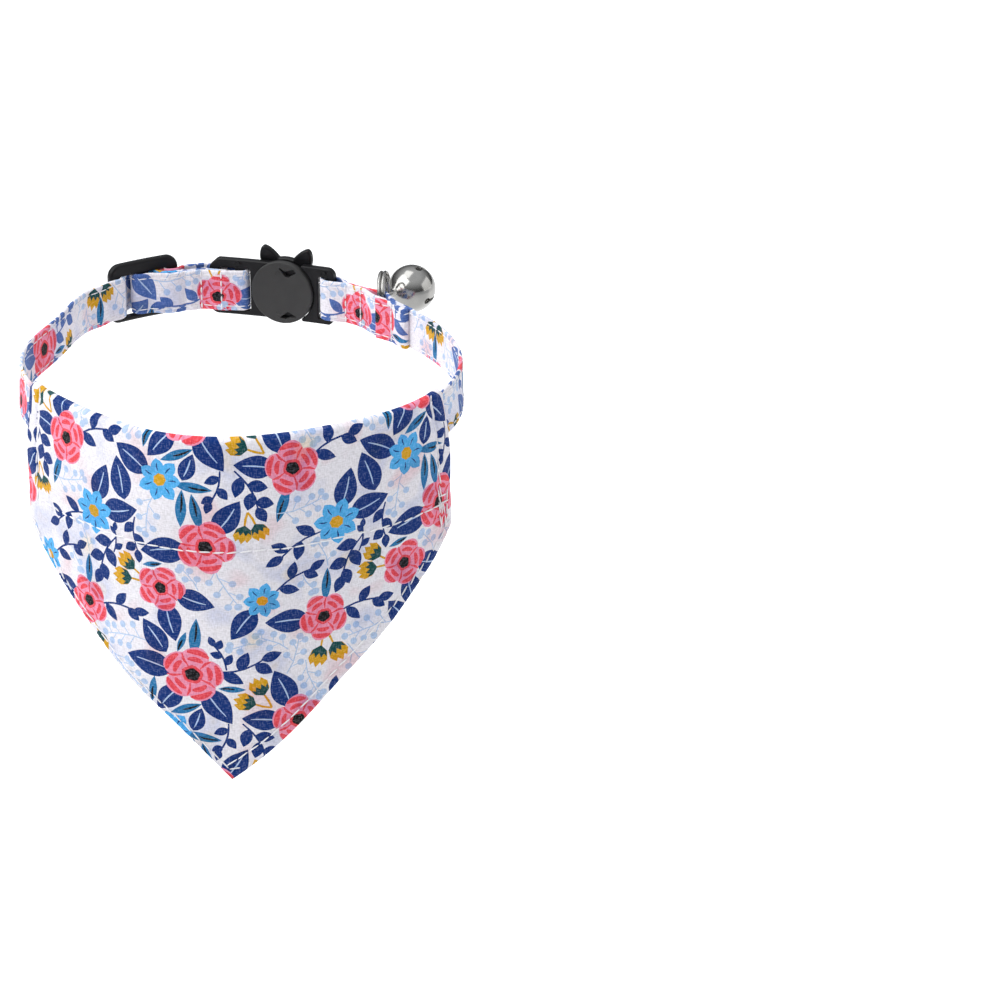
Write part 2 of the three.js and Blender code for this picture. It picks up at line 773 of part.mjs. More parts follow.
// Made upright with its bail on top, then turned so that the bail points at the ring.
function makeBell() {
  const shell = solid(ball(bell.radius, 24, 16));
  const room = solid(ball(bell.radius - bell.wall, 20, 12));
  let whole = shell.subtract(room);
  for (const turn of [0, 90]) {
    const reach = bell.radius * Math.sin(radians(bell.slotReach));
    const floor = -bell.radius * Math.cos(radians(bell.slotReach));
    const cut = new THREE.BoxGeometry(2 * reach, bell.slot, bell.radius);
    cut.translate(0, 0, floor - bell.radius / 2);
    cut.rotateZ(radians(turn));
    whole = whole.subtract(solid(cut));
    for (const way of [-1, 1]) {
      const hole = new THREE.CylinderGeometry(bell.hole, bell.hole, bell.radius, 12);
      hole.rotateZ(radians(90));
      hole.translate(bell.radius, 0, 0);
      hole.rotateY(radians(way * (90 - bell.slotReach) + (way < 0 ? 180 : 0)));
      hole.rotateZ(radians(turn));
      whole = whole.subtract(solid(hole));
    }
  }
  whole = whole.rotate([0, 0, bell.slotTurn]);
  const bail = new THREE.TorusGeometry(bell.bailRadius, bell.bailWire, 8, 20);
  bail.rotateX(Math.PI / 2);
  bail.translate(0, 0, bellReach);
  const neck = new THREE.CylinderGeometry(bell.neck.top, bell.neck.foot, bell.neck.height, 14);
  neck.rotateX(Math.PI / 2);
  neck.translate(0, 0, bell.radius - bell.neck.sink);
  whole = whole.add(solid(bail)).add(solid(neck).subtract(room));
  return geometryOf(whole);
}

// The bell hangs with its bail square to the ring's wire.
function placeBell(group) {
  const { middle, axis } = ringCircle();
  const up = bell.hang.clone().normalize();
  const alongWire = ringPlace.far.clone().sub(middle).cross(axis);
  const side = alongWire.cross(up).normalize();
  group.quaternion.setFromRotationMatrix(new THREE.Matrix4().makeBasis(side, up.clone().cross(side), up));
  group.position.copy(ringPlace.far).addScaledVector(up, -bellReach);
}

// ---- the collar

const cotton = { roughness: 0.9, metalness: 0 };
const plastic = { roughness: 0.55, metalness: 0 };
const nickel = { roughness: 0.15, metalness: 1 };

function piece(name, geometry, colour, finish) {
  const mesh = new THREE.Mesh(geometry, new THREE.MeshStandardMaterial({ color: colour, ...finish }));
  mesh.name = name;
  return mesh;
}

const collar = new THREE.Group();
collar.add(piece('collar_strap', makeStrap(), 0xe9e6e6, cotton));
collar.add(piece('bandana', makeBandana(), 0xf0eeee, cotton));
collar.add(piece('slider', makeSlider(), 0x2a2b2c, plastic));
collar.add(piece('buckle_socket', makeSocket(), 0x2e2f30, plastic));
collar.add(piece('buckle_prong', makeProng(), 0x2e2f30, plastic));
collar.add(piece('bell_ring', makeRing(), 0xc9c9c9, nickel));

const bellGroup = new THREE.Group();
placeBell(bellGroup);
bellGroup.add(piece('bell_shell', makeBell(), 0xc9c9c9, nickel));
const pellet = piece('bell_pellet', ball(bell.pelletRadius, 12, 8), 0xb5b5b5, nickel);
pellet.position.set(0, 0, -(bell.radius - bell.wall - bell.pelletRadius - gap));
bellGroup.add(pellet);
collar.add(bellGroup);

export default collar;
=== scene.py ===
# Cat collar with a bandana on it: printed cotton strap and bandana, black moulded plastic and a
# small nickel bell. Seen from above the collar is one loop, in millimetres, and everything is laid on it.
import math
import random

import bpy
import numpy as np
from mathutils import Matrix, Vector
from mathutils.geometry import delaunay_2d_cdt


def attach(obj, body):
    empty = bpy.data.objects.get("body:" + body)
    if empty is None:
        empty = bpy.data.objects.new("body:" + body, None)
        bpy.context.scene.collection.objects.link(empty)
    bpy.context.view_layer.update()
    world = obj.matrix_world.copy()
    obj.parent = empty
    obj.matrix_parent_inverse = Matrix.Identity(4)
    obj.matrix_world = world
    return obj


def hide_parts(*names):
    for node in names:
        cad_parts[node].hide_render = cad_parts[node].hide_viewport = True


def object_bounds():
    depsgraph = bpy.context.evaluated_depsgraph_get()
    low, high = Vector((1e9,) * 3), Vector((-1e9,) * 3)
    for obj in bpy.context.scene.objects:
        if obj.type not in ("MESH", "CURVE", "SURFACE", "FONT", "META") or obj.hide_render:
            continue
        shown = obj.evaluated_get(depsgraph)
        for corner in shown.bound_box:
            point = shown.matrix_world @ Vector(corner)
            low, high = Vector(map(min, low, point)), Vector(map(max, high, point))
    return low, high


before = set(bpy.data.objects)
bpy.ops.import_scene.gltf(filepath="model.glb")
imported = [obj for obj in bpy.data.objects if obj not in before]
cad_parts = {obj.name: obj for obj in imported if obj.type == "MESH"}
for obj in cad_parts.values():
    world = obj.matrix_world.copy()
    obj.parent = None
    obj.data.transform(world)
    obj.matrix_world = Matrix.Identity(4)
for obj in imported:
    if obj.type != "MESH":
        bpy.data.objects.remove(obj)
cadLow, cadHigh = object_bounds()
mm = 0.001
finest = 1e-9  # keeps a division from reaching nought
oneSpot = 1e-4  # mm within which two places on the flat cloth are one


# Small helpers

def linear(hexColour):
    # an sRGB hex value as linear red, green, blue, 1
    parts = [int(hexColour[k:k + 2], 16) / 255 for k in (0, 2, 4)]
    return tuple(c / 12.92 if c <= 0.04045 else ((c + 0.055) / 1.055) ** 2.4 for c in parts) + (1.0,)


def smoothStep(value, low, high):
    share = np.clip((np.asarray(value, float) - low) / (high - low), 0, 1)
    return share * share * (3 - 2 * share)


def hump(value, width):
    return np.exp(-(value / width) ** 2)


def mix(a, b, share):
    return a + (b - a) * share


def addNode(tree, kind, inputs=None, **settings):
    node = tree.nodes.new(kind)
    for name, value in settings.items():
        setattr(node, name, value)
    for name, value in (inputs or {}).items():
        if isinstance(value, bpy.types.NodeSocket):
            tree.links.new(value, node.inputs[name])
        else:
            node.inputs[name].default_value = value
    return node


def addObject(name, data):
    added = bpy.data.objects.new(name, data)
    bpy.context.collection.objects.link(added)
    return added


def softNoise(seed, size, reach=64):
    # smooth noise on the flat cloth, about -1 to 1, with blobs of this size in mm
    table = np.random.RandomState(seed).uniform(-1, 1, (reach, reach))

    def at(x, y):
        x, y = np.asarray(x, float) / size, np.asarray(y, float) / size
        i, j = np.floor(x).astype(int), np.floor(y).astype(int)
        fx, fy = x - i, y - j
        fx, fy = fx ** 3 * (fx * (6 * fx - 15) + 10), fy ** 3 * (fy * (6 * fy - 15) + 10)
        rows = [[table[(i + a) % reach, (j + b) % reach] for a in (0, 1)] for b in (0, 1)]
        return mix(mix(*rows[0], fx), mix(*rows[1], fx), fy)

    return at


def smoothRun(points, fine=60):
    # a centripetal curve through all points
    points = np.asarray(points, float)
    padded = np.concatenate([[2 * points[0] - points[1]], points, [2 * points[-1] - points[-2]]])
    apart = np.maximum(np.linalg.norm(np.diff(padded, axis=0), axis=1) ** 0.5, 1e-4)
    share = np.arange(fine) / fine
    run = []
    for k in range(len(points) - 1):
        a, b, c, d = padded[k:k + 4]
        before, here, after = apart[k:k + 3]
        leave = ((b - a) / before - (c - a) / (before + here) + (c - b) / here) * here
        arrive = ((c - b) / here - (d - b) / (here + after) + (d - c) / after) * here
        t = share[:, None]
        run.append(b + leave * t + (-3 * b + 3 * c - 2 * leave - arrive) * t ** 2
                   + (2 * b - 2 * c + leave + arrive) * t ** 3)
    return np.concatenate([*run, points[-1:]])


def refined(points, longest):
    # the same outline with no side longer than this
    out = []
    for a, b in zip(points, np.roll(points, -1, 0)):
        count = max(1, math.ceil(np.linalg.norm(b - a) / longest))
        out += [a + (b - a) * k / count for k in range(count)]
    return np.array(out)


def anticlockwise(points):
    x, y = points.T
    area = np.sum(x * np.roll(y, -1) - np.roll(x, -1) * y)
    return points if area > 0 else points[::-1]


# The loop

loopPlan = {
    # from the middle of the bandana, anticlockwise from above: length in mm, turn in degrees
    "stretches": [
        (16, 22), (24, 14), (18, 27), (26, 33), (30, 32), (22, 5), (10, 27), (34, 12),
        (9, 28), (18, 31), (16, 30), (20, -10), (20, 27), (24, 34), (27, 12), (22, 36),
    ],
    "start": (-2.5, -52.8),
    "startTurn": -2.3,
    "step": 0.5,
    "stiffness": 4,
}


def outwards(turn):
    return np.stack([np.sin(turn), -np.cos(turn)], -1)


def layLoop(plan):
    total = sum(length for length, turn in plan["stretches"])
    step = plan["step"]
    count = round(total / step)
    ends = np.cumsum([length for length, turn in plan["stretches"]])
    rates = np.array([turn / length for length, turn in plan["stretches"]])
    bend = rates[np.searchsorted(ends, (np.arange(count) + 0.5) * step, side="right")]
    reach = round(plan["stiffness"] / step)
    for again in range(2):
        bend = sum(np.roll(bend, k) for k in range(-reach, reach + 1)) / (2 * reach + 1)
    turns = math.radians(plan["startTurn"]) + np.concatenate([[0], np.cumsum(np.radians(bend * step))])
    middle = (turns[1:] + turns[:-1]) / 2
    steps = np.stack([np.cos(middle), np.sin(middle)], -1) * step
    points = np.array(plan["start"]) + np.concatenate([[[0, 0]], np.cumsum(steps, 0)])
    points -= np.outer(np.arange(count + 1) / count, points[-1] - points[0])
    return {"total": total, "marks": np.arange(count + 1) * step, "points": points, "turns": turns}


loop = layLoop(loopPlan)
print(f"loop: {loop['total']} mm round")


def onLoop(along):
    place = np.mod(along, loop["total"])
    x, y = (np.interp(place, loop["marks"], loop["points"][:, k]) for k in (0, 1))
    return np.stack([x, y], -1), np.interp(place, loop["marks"], loop["turns"])


def placeOnLoop(along, out):
    point, turn = onLoop(along)
    return point + outwards(turn) * np.asarray(out, float)[..., None]


def arcAt(at, bendRadius):
    # hardware lies on an arc of its own: along it, and out from it
    point, turn = onLoop(at)
    centre = point - outwards(turn) * bendRadius

    def place(along, out):
        angle = turn + np.asarray(along, float) / bendRadius
        return centre + outwards(angle) * (bendRadius + np.asarray(out, float))[..., None]

    return place


# The print: loose flowers, leaves, buds and berries on one tile, in mm

inks = {
    "ground": "f2eff5",
    "navy": "05337b",
    "pink": "f495b2",
    "coral": "ee4b57",
    "sky": "53b4f1",
    "teal": "2478ae",
    "mustard": "dea61a",
    "green": "0b4b4c",
    "black": "0b0a0f",
    "mist": "b9cfee",
}
inkNames = list(inks)
strapInksPaintedLighter = inks | {"navy": "5070b2"}  # its leaves' navy is painted a lighter blue: painted light, standing in for the stronger light on the strap


def turned(points, angle=0.0, by=(0, 0), size=1.0):
    c, s = math.cos(angle), math.sin(angle)
    x, y = np.asarray(points, float).T * size
    return np.stack([x * c - y * s + by[0], x * s + y * c + by[1]], -1)


def leaf(length, width, widest=0.45, count=9):
    # from its foot upwards, pointed at both ends
    share = np.linspace(0, 1, count)
    half = width / 2 * np.sin(np.pi * share ** (math.log(0.5) / math.log(widest))) ** 0.9
    right = np.stack([half, share * length], -1)
    left = np.stack([-half[-2:0:-1], share[-2:0:-1] * length], -1)
    return np.concatenate([right, left])


def blob(across, tall, lobes=0, depth=0.0, count=18, phase=0.0):
    angle = np.arange(count) / count * 2 * np.pi
    radius = 1 + depth * np.cos(lobes * (angle + phase))
    return np.stack([across / 2 * radius * np.cos(angle), tall / 2 * radius * np.sin(angle)], -1)


def stroke(points, width, taper=0.35):
    # a brush stroke along points, thin at both ends
    points = np.asarray(points, float)
    way = np.gradient(points, axis=0)
    way /= np.linalg.norm(way, axis=1)[:, None] + finest
    side = np.stack([-way[:, 1], way[:, 0]], -1)
    share = np.linspace(0, 1, len(points))
    half = width / 2 * mix(taper, 1, np.sin(np.pi * share) ** 0.6)[:, None]
    return anticlockwise(np.concatenate([points - side * half, (points + side * half)[::-1]]))


def arc(radius, start, end, squash=1.0, count=7):
    angle = np.radians(np.linspace(start, end, count))
    return np.stack([radius * np.cos(angle), radius * squash * np.sin(angle)], -1)


def moved(parts, angle=0.0, by=(0, 0), size=1.0):
    return [(turned(points, angle, by, size), ink) for points, ink in parts]


def anemone(size, chance):
    # five round petals with brushed edges and a dark eye
    parts = []
    lean = chance.uniform(0, 2 * math.pi)
    for k in range(5):
        angle = lean + k * 2 * math.pi / 5 + chance.uniform(-0.08, 0.08)
        petal = blob(size * 0.5, size * 0.47, 3, 0.05, 16, chance.uniform(0, 2))
        parts += moved([(petal, "pink")], angle, turned([(size * 0.25, 0)], angle)[0])
    for k in range(5):
        angle = math.degrees(lean) + k * 72
        parts.append((stroke(arc(size * 0.41, angle - 27, angle + 24), size * 0.1), "coral"))
        parts.append((stroke(arc(size * 0.28, angle - 24, angle + 28), size * 0.09), "coral"))
        between = [(size * 0.16, 0), (size * 0.3, 0.02 * size), (size * 0.4, 0)]
        parts.append((stroke(turned(between, math.radians(angle + 36)), size * 0.05), "coral"))
    parts.append((blob(size * 0.34, size * 0.32, 5, 0.06, 16), "coral"))
    parts.append((blob(size * 0.24, size * 0.22, 5, 0.08, 14), "black"))
    return parts


def daisy(size, chance):
    parts = []
    lean = chance.uniform(0, 2 * math.pi)
    petals = 7
    for k in range(petals):
        angle = lean + k * 2 * math.pi / petals
        long = size * chance.uniform(0.46, 0.53)
        parts += moved([(leaf(long, size * 0.3, 0.62, 8), "sky")], angle - math.pi / 2)
    for k in range(petals):
        angle = lean + k * 2 * math.pi / petals
        vein = turned([(size * 0.2, 0), (size * 0.3, size * 0.012), (size * 0.38, 0)], angle)
        parts.append((stroke(vein, size * 0.035), "navy"))
    parts.append((blob(size * 0.29, size * 0.27, 7, 0.08, 21), "mustard"))
    return parts


def sprig(length, leaves, ink, chance, wide):
    # a bent stem with leaves on both sides and one at its tip; wide is a leaf's width
    bow = chance.choice([-1, 1]) * length * 0.08
    share = np.linspace(0, 1, 6)
    stem = np.stack([bow * np.sin(np.pi * share), share * length * 0.86], -1)
    parts = [(stroke(stem, 0.45, 0.8), ink)]
    for k in range(leaves):
        at = 0.18 + 0.62 * k / max(1, leaves - 1)
        foot = (bow * math.sin(math.pi * at), at * length * 0.86)
        side = 1 if k % 2 else -1
        long = length * mix(0.42, 0.3, at)
        parts += moved([(leaf(long, length * wide), ink)], side * math.radians(chance.uniform(42, 58)), foot)
    parts += moved([(leaf(length * 0.34, length * wide * 0.9), ink)], 0, (0, length * 0.8))
    return parts


def ribbedLeaf(length, width, widest, count, ink, rib, ribWidth, taper, ribInk):
    # width and the rib's two ends are shares of its length
    share = np.linspace(0, 1, 5)
    line = np.stack([0.02 * length * np.sin(np.pi * share), mix(*rib, share) * length], -1)
    return [(leaf(length, length * width, widest, count), ink), (stroke(line, ribWidth, taper), ribInk)]


def broadLeaf(length):
    return ribbedLeaf(length, 0.58, 0.42, 12, "navy", (0.16, 0.78), 0.35, 0.5, "mist")


def slimLeaf(length):
    return ribbedLeaf(length, 0.27, 0.5, 9, "teal", (0.4, 0.9), 0.5, 0.4, "black")


def budPair(size, chance):
    # two buds on one stem, mustard with green cups
    parts = []
    for side in (-1, 1):
        tilt = -side * math.radians(chance.uniform(16, 26))
        foot = turned([(0, size * 0.42)], tilt)[0]
        parts.append((stroke([(0, 0), foot * 0.5 + (0.15 * side, 0), foot], 0.55, 0.8), "mustard"))
        crown = np.array([(0, 0), (0.2, 0.12), (0.25, 0.33), (0.15, 0.5), (0.09, 0.42),
                          (0, 0.56), (-0.09, 0.42), (-0.15, 0.5), (-0.25, 0.33), (-0.2, 0.12)])
        cup = np.array([(0, -0.02), (0.18, 0.1), (0.22, 0.27), (0.13, 0.19), (0.07, 0.31),
                        (0, 0.19), (-0.08, 0.3), (-0.13, 0.19), (-0.22, 0.26), (-0.18, 0.1)])
        parts += moved([(crown * size, "mustard"), (cup * size, "green")], tilt, foot)
    return parts


def berries(length, count, chance):
    stem = [(0, 0), (0.04 * length, 0.3 * length), (0, 0.62 * length), (-0.05 * length, 0.86 * length)]
    parts = [(stroke(stem, 0.28, 0.8), "mist")]
    for k in range(count):
        at = 0.2 + 0.72 * k / (count - 1)
        foot = (0.03 * length * math.sin(5 * at), at * length * 0.84)
        side = 1 if k % 2 else -1
        angle = side * math.radians(chance.uniform(38, 66))
        reach = length * mix(0.28, 0.16, at)
        end = turned([(0, reach)], angle, foot)[0]
        parts.append((stroke([foot, turned([(0, reach / 2)], angle, foot)[0], end], 0.24, 0.8), "mist"))
        parts += moved([(blob(1.7, 1.6, 0, 0, 10), "mist")], 0, end)
    parts += moved([(blob(1.8, 1.7, 0, 0, 10), "mist")], 0, (-0.05 * length, 0.93 * length))
    return parts


def greenery(kind, length, count, chance, wide):
    # a leaf, a sprig, two buds or a spray of berries; count is its side leaves or its berries
    if kind == "broad":
        return broadLeaf(length)
    if kind == "slim":
        return slimLeaf(length)
    if kind == "buds":
        return budPair(length, chance)
    if kind == "berries":
        return berries(length, count, chance)
    return sprig(length, count, "navy", chance, wide)


def posy(flower, size, extras, chance):
    # a flower over leaves and sprigs that come out from under it: (kind, angle in degrees, length)
    parts = []
    for kind, angle, length in extras:
        turn = math.radians(angle)
        made = greenery(kind, length, 5 if kind == "berries" else 3, chance, printPlan["posyLeaf"])
        parts += moved(made, turn - math.pi / 2, turned([(size * 0.3, 0)], turn)[0])
    return parts + flower(size, chance)


printPlan = {
    "tile": (56, 62),  # mm, one repeat, before it is enlarged
    "enlarge": 1.03,
    "cell": 0.5,
    "turns": 12,  # directions that are tried
    "clearance": 1,  # cells kept free round a motif
    "apart": 14,  # cells within which a flower minds its neighbours
    "snug": 5,  # cells within which a neighbour counts
    "posyLeaf": 0.2,  # how wide a sprig's leaves are, as a share of the sprig, by a flower
    "fillLeaf": 0.23,  # and on their own
    "seed": 12,
}
# what is laid on the tile, largest first
printRows = [
    (anemone, 14, [("broad", 15, 11), ("broad", 75, 9), ("broad", 150, 10.5),
                   ("slim", -70, 10), ("sprig", -140, 14)]),
    (anemone, 13.2, [("broad", 60, 11), ("slim", -30, 9), ("broad", -75, 9.5), ("berries", 160, 13)]),
    (daisy, 11, [("broad", 200, 10), ("broad", 255, 9.5), ("sprig", 30, 13)]),
    (anemone, 12, [("buds", 80, 9.5), ("broad", -20, 10), ("slim", -110, 8.5), ("sprig", 170, 12)]),
    (anemone, 12.6, [("broad", 130, 10.5), ("broad", 190, 9), ("sprig", 40, 13), ("slim", -90, 9)]),
    (daisy, 10, [("broad", 100, 10), ("slim", -60, 8.5), ("berries", 200, 12)]),
    (anemone, 11.5, [("buds", 60, 9), ("broad", 180, 9.5), ("broad", 240, 9)]),
    (daisy, 8.5, [("broad", 45, 9), ("sprig", 200, 12)]),
    (anemone, 10.8, [("slim", 30, 8.5), ("broad", -60, 9.5), ("buds", 140, 9)]),
    (anemone, 10.5, [("broad", 90, 9), ("slim", -40, 8.5)]),
]
printFill = [
    ("berries", 15, 9), ("sprig", 15, 5), ("buds", 9, 0), ("broad", 10, 0), ("sprig", 13, 4),
    ("slim", 9, 0), ("berries", 13, 7), ("broad", 9, 0), ("sprig", 12, 4), ("berries", 12, 6),
    ("slim", 8, 0), ("buds", 8, 0), ("berries", 11, 6), ("sprig", 10, 3), ("broad", 6.5, 0),
    ("berries", 10, 5), ("slim", 7, 0), ("sprig", 9, 3), ("berries", 9, 5), ("slim", 6, 0),
    ("berries", 8, 4), ("sprig", 8, 3), ("berries", 7, 4), ("slim", 5.5, 0), ("berries", 6.5, 3),
    ("sprig", 7, 2), ("slim", 5, 0), ("berries", 6, 3),
]


def covered(parts, shape, cell):
    # which cells of the tile the parts cover, with the motif's own origin on cell 0, 0
    mask = np.zeros(shape, bool)
    for points, ink in parts:
        low = np.floor(points.min(0) / cell).astype(int) - 1
        high = np.ceil(points.max(0) / cell).astype(int) + 1
        i, j = np.meshgrid(np.arange(low[0], high[0]), np.arange(low[1], high[1]), indexing="ij")
        x, y = (i + 0.5) * cell, (j + 0.5) * cell
        inside = np.zeros(x.shape, bool)
        for (ax, ay), (bx, by) in zip(points, np.roll(points, -1, 0)):
            if ay != by:
                inside ^= ((ay > y) != (by > y)) & (x < (bx - ax) * (y - ay) / (by - ay) + ax)
        mask[i[inside] % shape[0], j[inside] % shape[1]] = True
    return mask


def overlaps(taken, mask):
    # how many cells would be shared, for every place of the mask on the tile
    return np.rint(np.fft.ifft2(np.fft.fft2(taken) * np.conj(np.fft.fft2(mask))).real)


def grown(mask, reach):
    i, j = np.meshgrid(np.arange(-reach, reach + 1), np.arange(-reach, reach + 1), indexing="ij")
    disc = np.zeros(mask.shape)
    near = i * i + j * j <= reach * reach
    disc[i[near] % mask.shape[0], j[near] % mask.shape[1]] = 1
    return np.rint(np.fft.ifft2(np.fft.fft2(mask) * np.fft.fft2(disc)).real) > 0


def layPrint(plan):
    chance = random.Random(plan["seed"])
    cell = plan["cell"]
    shape = tuple(round(side / cell) for side in plan["tile"])
    taken = np.zeros(shape, bool)
    laid = []
    motifs = [(plan["apart"], posy(flower, size, extras, chance)) for flower, size, extras in printRows]
    motifs += [(0, greenery(kind, size, count, chance, plan["fillLeaf"])) for kind, size, count in printFill]
    for apart, motif in motifs:
        best = None
        start = chance.uniform(0, 2 * math.pi)
        for k in range(plan["turns"]):
            angle = start + k * 2 * math.pi / plan["turns"]
            parts = moved(motif, angle)
            mask = covered(parts, shape, cell)
            free = overlaps(taken, grown(mask, plan["clearance"])) < 0.5
            if not free.any():
                continue
            # flowers keep away from each other, and what fills between them lies close
            if apart:
                near = -overlaps(taken, grown(mask, apart))
            else:
                near = overlaps(taken, grown(mask, plan["snug"]))
            near[~free] = -1e6
            spot = np.unravel_index(np.argmax(near), shape)
            if best is None or near[spot] > best[0]:
                best = (near[spot], spot, parts, mask)
        if best:
            score, spot, parts, mask = best
            laid.append(moved(parts, 0, (spot[0] * cell, spot[1] * cell)))
            taken |= np.roll(mask, spot, (0, 1))
    print(f"print: {len(laid)} motifs, {taken.mean():.0%} of the tile covered")
    return [moved(motif, 0, (0, 0), plan["enlarge"]) for motif in laid]


printMotifs = layPrint(printPlan)


def printOver(low, high, wrap=None, shift=(0, 0)):
    # every part of the repeat that reaches into this box of flat cloth, in the order that they are laid
    tile = np.multiply(printPlan["tile"], printPlan["enlarge"])
    first, last = (np.floor((np.asarray(edge) - shift) / tile).astype(int) for edge in (low, high))
    kept = []
    for i in range(first[0] - 1, last[0] + 2):
        for j in range(first[1] - 1, last[1] + 2):
            for motif in printMotifs:
                parts = moved(motif, 0, (shift[0] + i * tile[0], shift[1] + j * tile[1]))
                middle = np.concatenate([points for points, ink in parts]).mean(0)[1]
                lifts = (0,) if wrap is None else (-wrap, 0, wrap)
                if wrap is not None and not 0 <= middle < wrap:
                    continue  # a strap's cloth closes round it, so each motif counts once
                for points, ink in parts:
                    for lift in lifts:
                        place = points + (0, lift)
                        if (place.max(0) > low).all() and (place.min(0) < high).all():
                            kept.append((place, ink))
    return kept


def printedCloth(outline, grid, parts, fold=()):
    # cuts the flat cloth along the print and the fold: flat points, triangles and the ink of each
    points = [Vector(p) for p in outline] + [Vector(p) for p in grid] + [Vector(p) for p in fold]
    folds = [(len(points) - 2, len(points) - 1)] if fold else []
    faces = [list(range(len(outline)))]
    owners = [inkNames.index("ground")]
    for shape, ink in parts:
        faces.append(list(range(len(points), len(points) + len(shape))))
        owners.append(inkNames.index(ink))
        points += [Vector(p) for p in anticlockwise(shape)]
    flat, edges, cut, fromPoints, fromEdges, fromFaces = delaunay_2d_cdt(points, folds, faces, 0, 1e-5, True)
    kept = [k for k, sources in enumerate(fromFaces) if 0 in sources]
    triangles = np.array([cut[k] for k in kept])
    ink = np.array([owners[max(fromFaces[k])] for k in kept])
    used, index = np.unique(triangles, return_inverse=True)
    return np.array([flat[k][:] for k in used]), index.reshape(-1, 3), ink


# Cloth meshes

def surfaceNormals(place, flat, step=0.05):
    east = place(flat + (step, 0)) - place(flat - (step, 0))
    north = place(flat + (0, step)) - place(flat - (0, step))
    normal = np.cross(east, north)
    return normal / (np.linalg.norm(normal, axis=1)[:, None] + finest)


def joinedSeam(flat, triangles, girth):
    # the cloth's two long edges become one: each point of the far edge takes the number of its twin
    near = np.flatnonzero(np.abs(flat[:, 1]) < oneSpot)
    far = np.flatnonzero(np.abs(flat[:, 1] - girth) < oneSpot)
    near = near[np.argsort(flat[near, 0])]
    spots = flat[near, 0]
    after = np.clip(np.searchsorted(spots, flat[far, 0]), 1, len(near) - 1)
    closer = np.where(flat[far, 0] - spots[after - 1] < spots[after] - flat[far, 0], after - 1, after)
    index = np.arange(len(flat))
    index[far] = near[closer]
    joined = index[triangles]
    whole = (joined[:, 0] != joined[:, 1]) & (joined[:, 1] != joined[:, 2]) & (joined[:, 2] != joined[:, 0])
    return joined, whole


def tidied(points, normals, triangles):
    # leaves out points that no triangle uses
    used, index = np.unique(triangles, return_inverse=True)
    return points[used], normals[used], index.reshape(-1, 3)


def rimsOf(triangles):
    # loops of edges that only one triangle has
    edges = np.concatenate([triangles[:, [0, 1]], triangles[:, [1, 2]], triangles[:, [2, 0]]])
    known = {(a, b) for a, b in edges.tolist()}
    follow = {b: a for a, b in known if (b, a) not in known}
    loops = []
    while follow:
        start, point = follow.popitem()
        ring = [start]
        while point != start and point in follow:
            ring.append(point)
            point = follow.pop(point)
        loops.append(ring)
    return loops


def addPiece(name, points, normals, triangles, *materials):
    # points in mm
    mesh = bpy.data.meshes.new(name)
    mesh.from_pydata((points * mm).tolist(), [], triangles.tolist())
    mesh.update()
    mesh.shade_smooth()
    mesh.normals_split_custom_set_from_vertices(normals.tolist())
    for material in materials:
        mesh.materials.append(material)
    return addObject(name, mesh)


def clothObject(name, points, normals, corners, triangles, ink, table):
    # corners holds the flat place of each triangle's corners
    piece = addPiece(name, points, normals, triangles, cotton)
    layer = piece.data.uv_layers.new(name="clothMap")
    layer.data.foreach_set("uv", (corners / clothUnit).reshape(-1).astype(np.float32))
    colour = piece.data.color_attributes.new("print", "FLOAT_COLOR", "CORNER")
    colours = np.array([linear(table[known]) for known in inkNames])
    colour.data.foreach_set("color", np.repeat(colours[ink], 3, 0).reshape(-1).astype(np.float32))
    return piece


# Materials

studio = {
    "floorDrop": 0.26,  # m, how far the floor lies under the collar
    "floorReach": 40,
    "tableGlow": (0.02, 0.5),  # painted glow of the floor, which gives off light itself: before the collar, behind it
    "glowFrom": (-0.1, 0.25),  # m, between which it comes on
    "surround": (0.06, 0.95),  # horizon, overhead
    "surroundTint": "f2f4f8",
    "camera": (0.0615, -0.7882, 0.3264),
    "tilt": 24.5,  # degrees down
    "lens": 129.34,
    "sensor": 36,
    "clip": (0.05, 60),
    # area lights: the way to each from the collar, its distance, size in metres and watts
    "lights": {
        "keyBox": ((-0.68, -0.3, 0.67), 1.3, (1.4, 1.2), 14.5),
        "topBox": ((-0.25, 0.15, 1), 1.3, (0.9, 0.7), 3.2),
        "rightBox": ((0.97, 0.0, 0.3), 1.4, (1.5, 0.9), 4.6),
    },
}


def newMaterial(name):
    material = bpy.data.materials.new(name)
    material.use_nodes = True
    material.node_tree.nodes.clear()
    return material, material.node_tree


def finishMaterial(tree, inputs):
    shader = addNode(tree, "ShaderNodeBsdfPrincipled", inputs)
    addNode(tree, "ShaderNodeOutputMaterial", {"Surface": shader.outputs["BSDF"]})


def driftingMaterial(tree, settings, drift, tones, rough=None, relief=None):
    # the colour drifts between two tones and the roughness between two values; relief is grain, strength, mm
    dark, light = (linear(tone) for tone in tones)
    inputs = dict(settings)
    inputs["Base Color"] = addNode(tree, "ShaderNodeMix", {"Factor": drift, "A": dark, "B": light},
                                   data_type="RGBA").outputs["Result"]
    if rough:
        by, low, high = rough
        inputs["Roughness"] = addNode(tree, "ShaderNodeMapRange",
                                      {"Value": by, "To Min": low, "To Max": high}).outputs["Result"]
    if relief:
        grain, strength, depth = relief
        inputs["Normal"] = addNode(tree, "ShaderNodeBump", {"Height": grain, "Strength": strength,
                                                            "Distance": depth * mm}).outputs["Normal"]
    finishMaterial(tree, inputs)


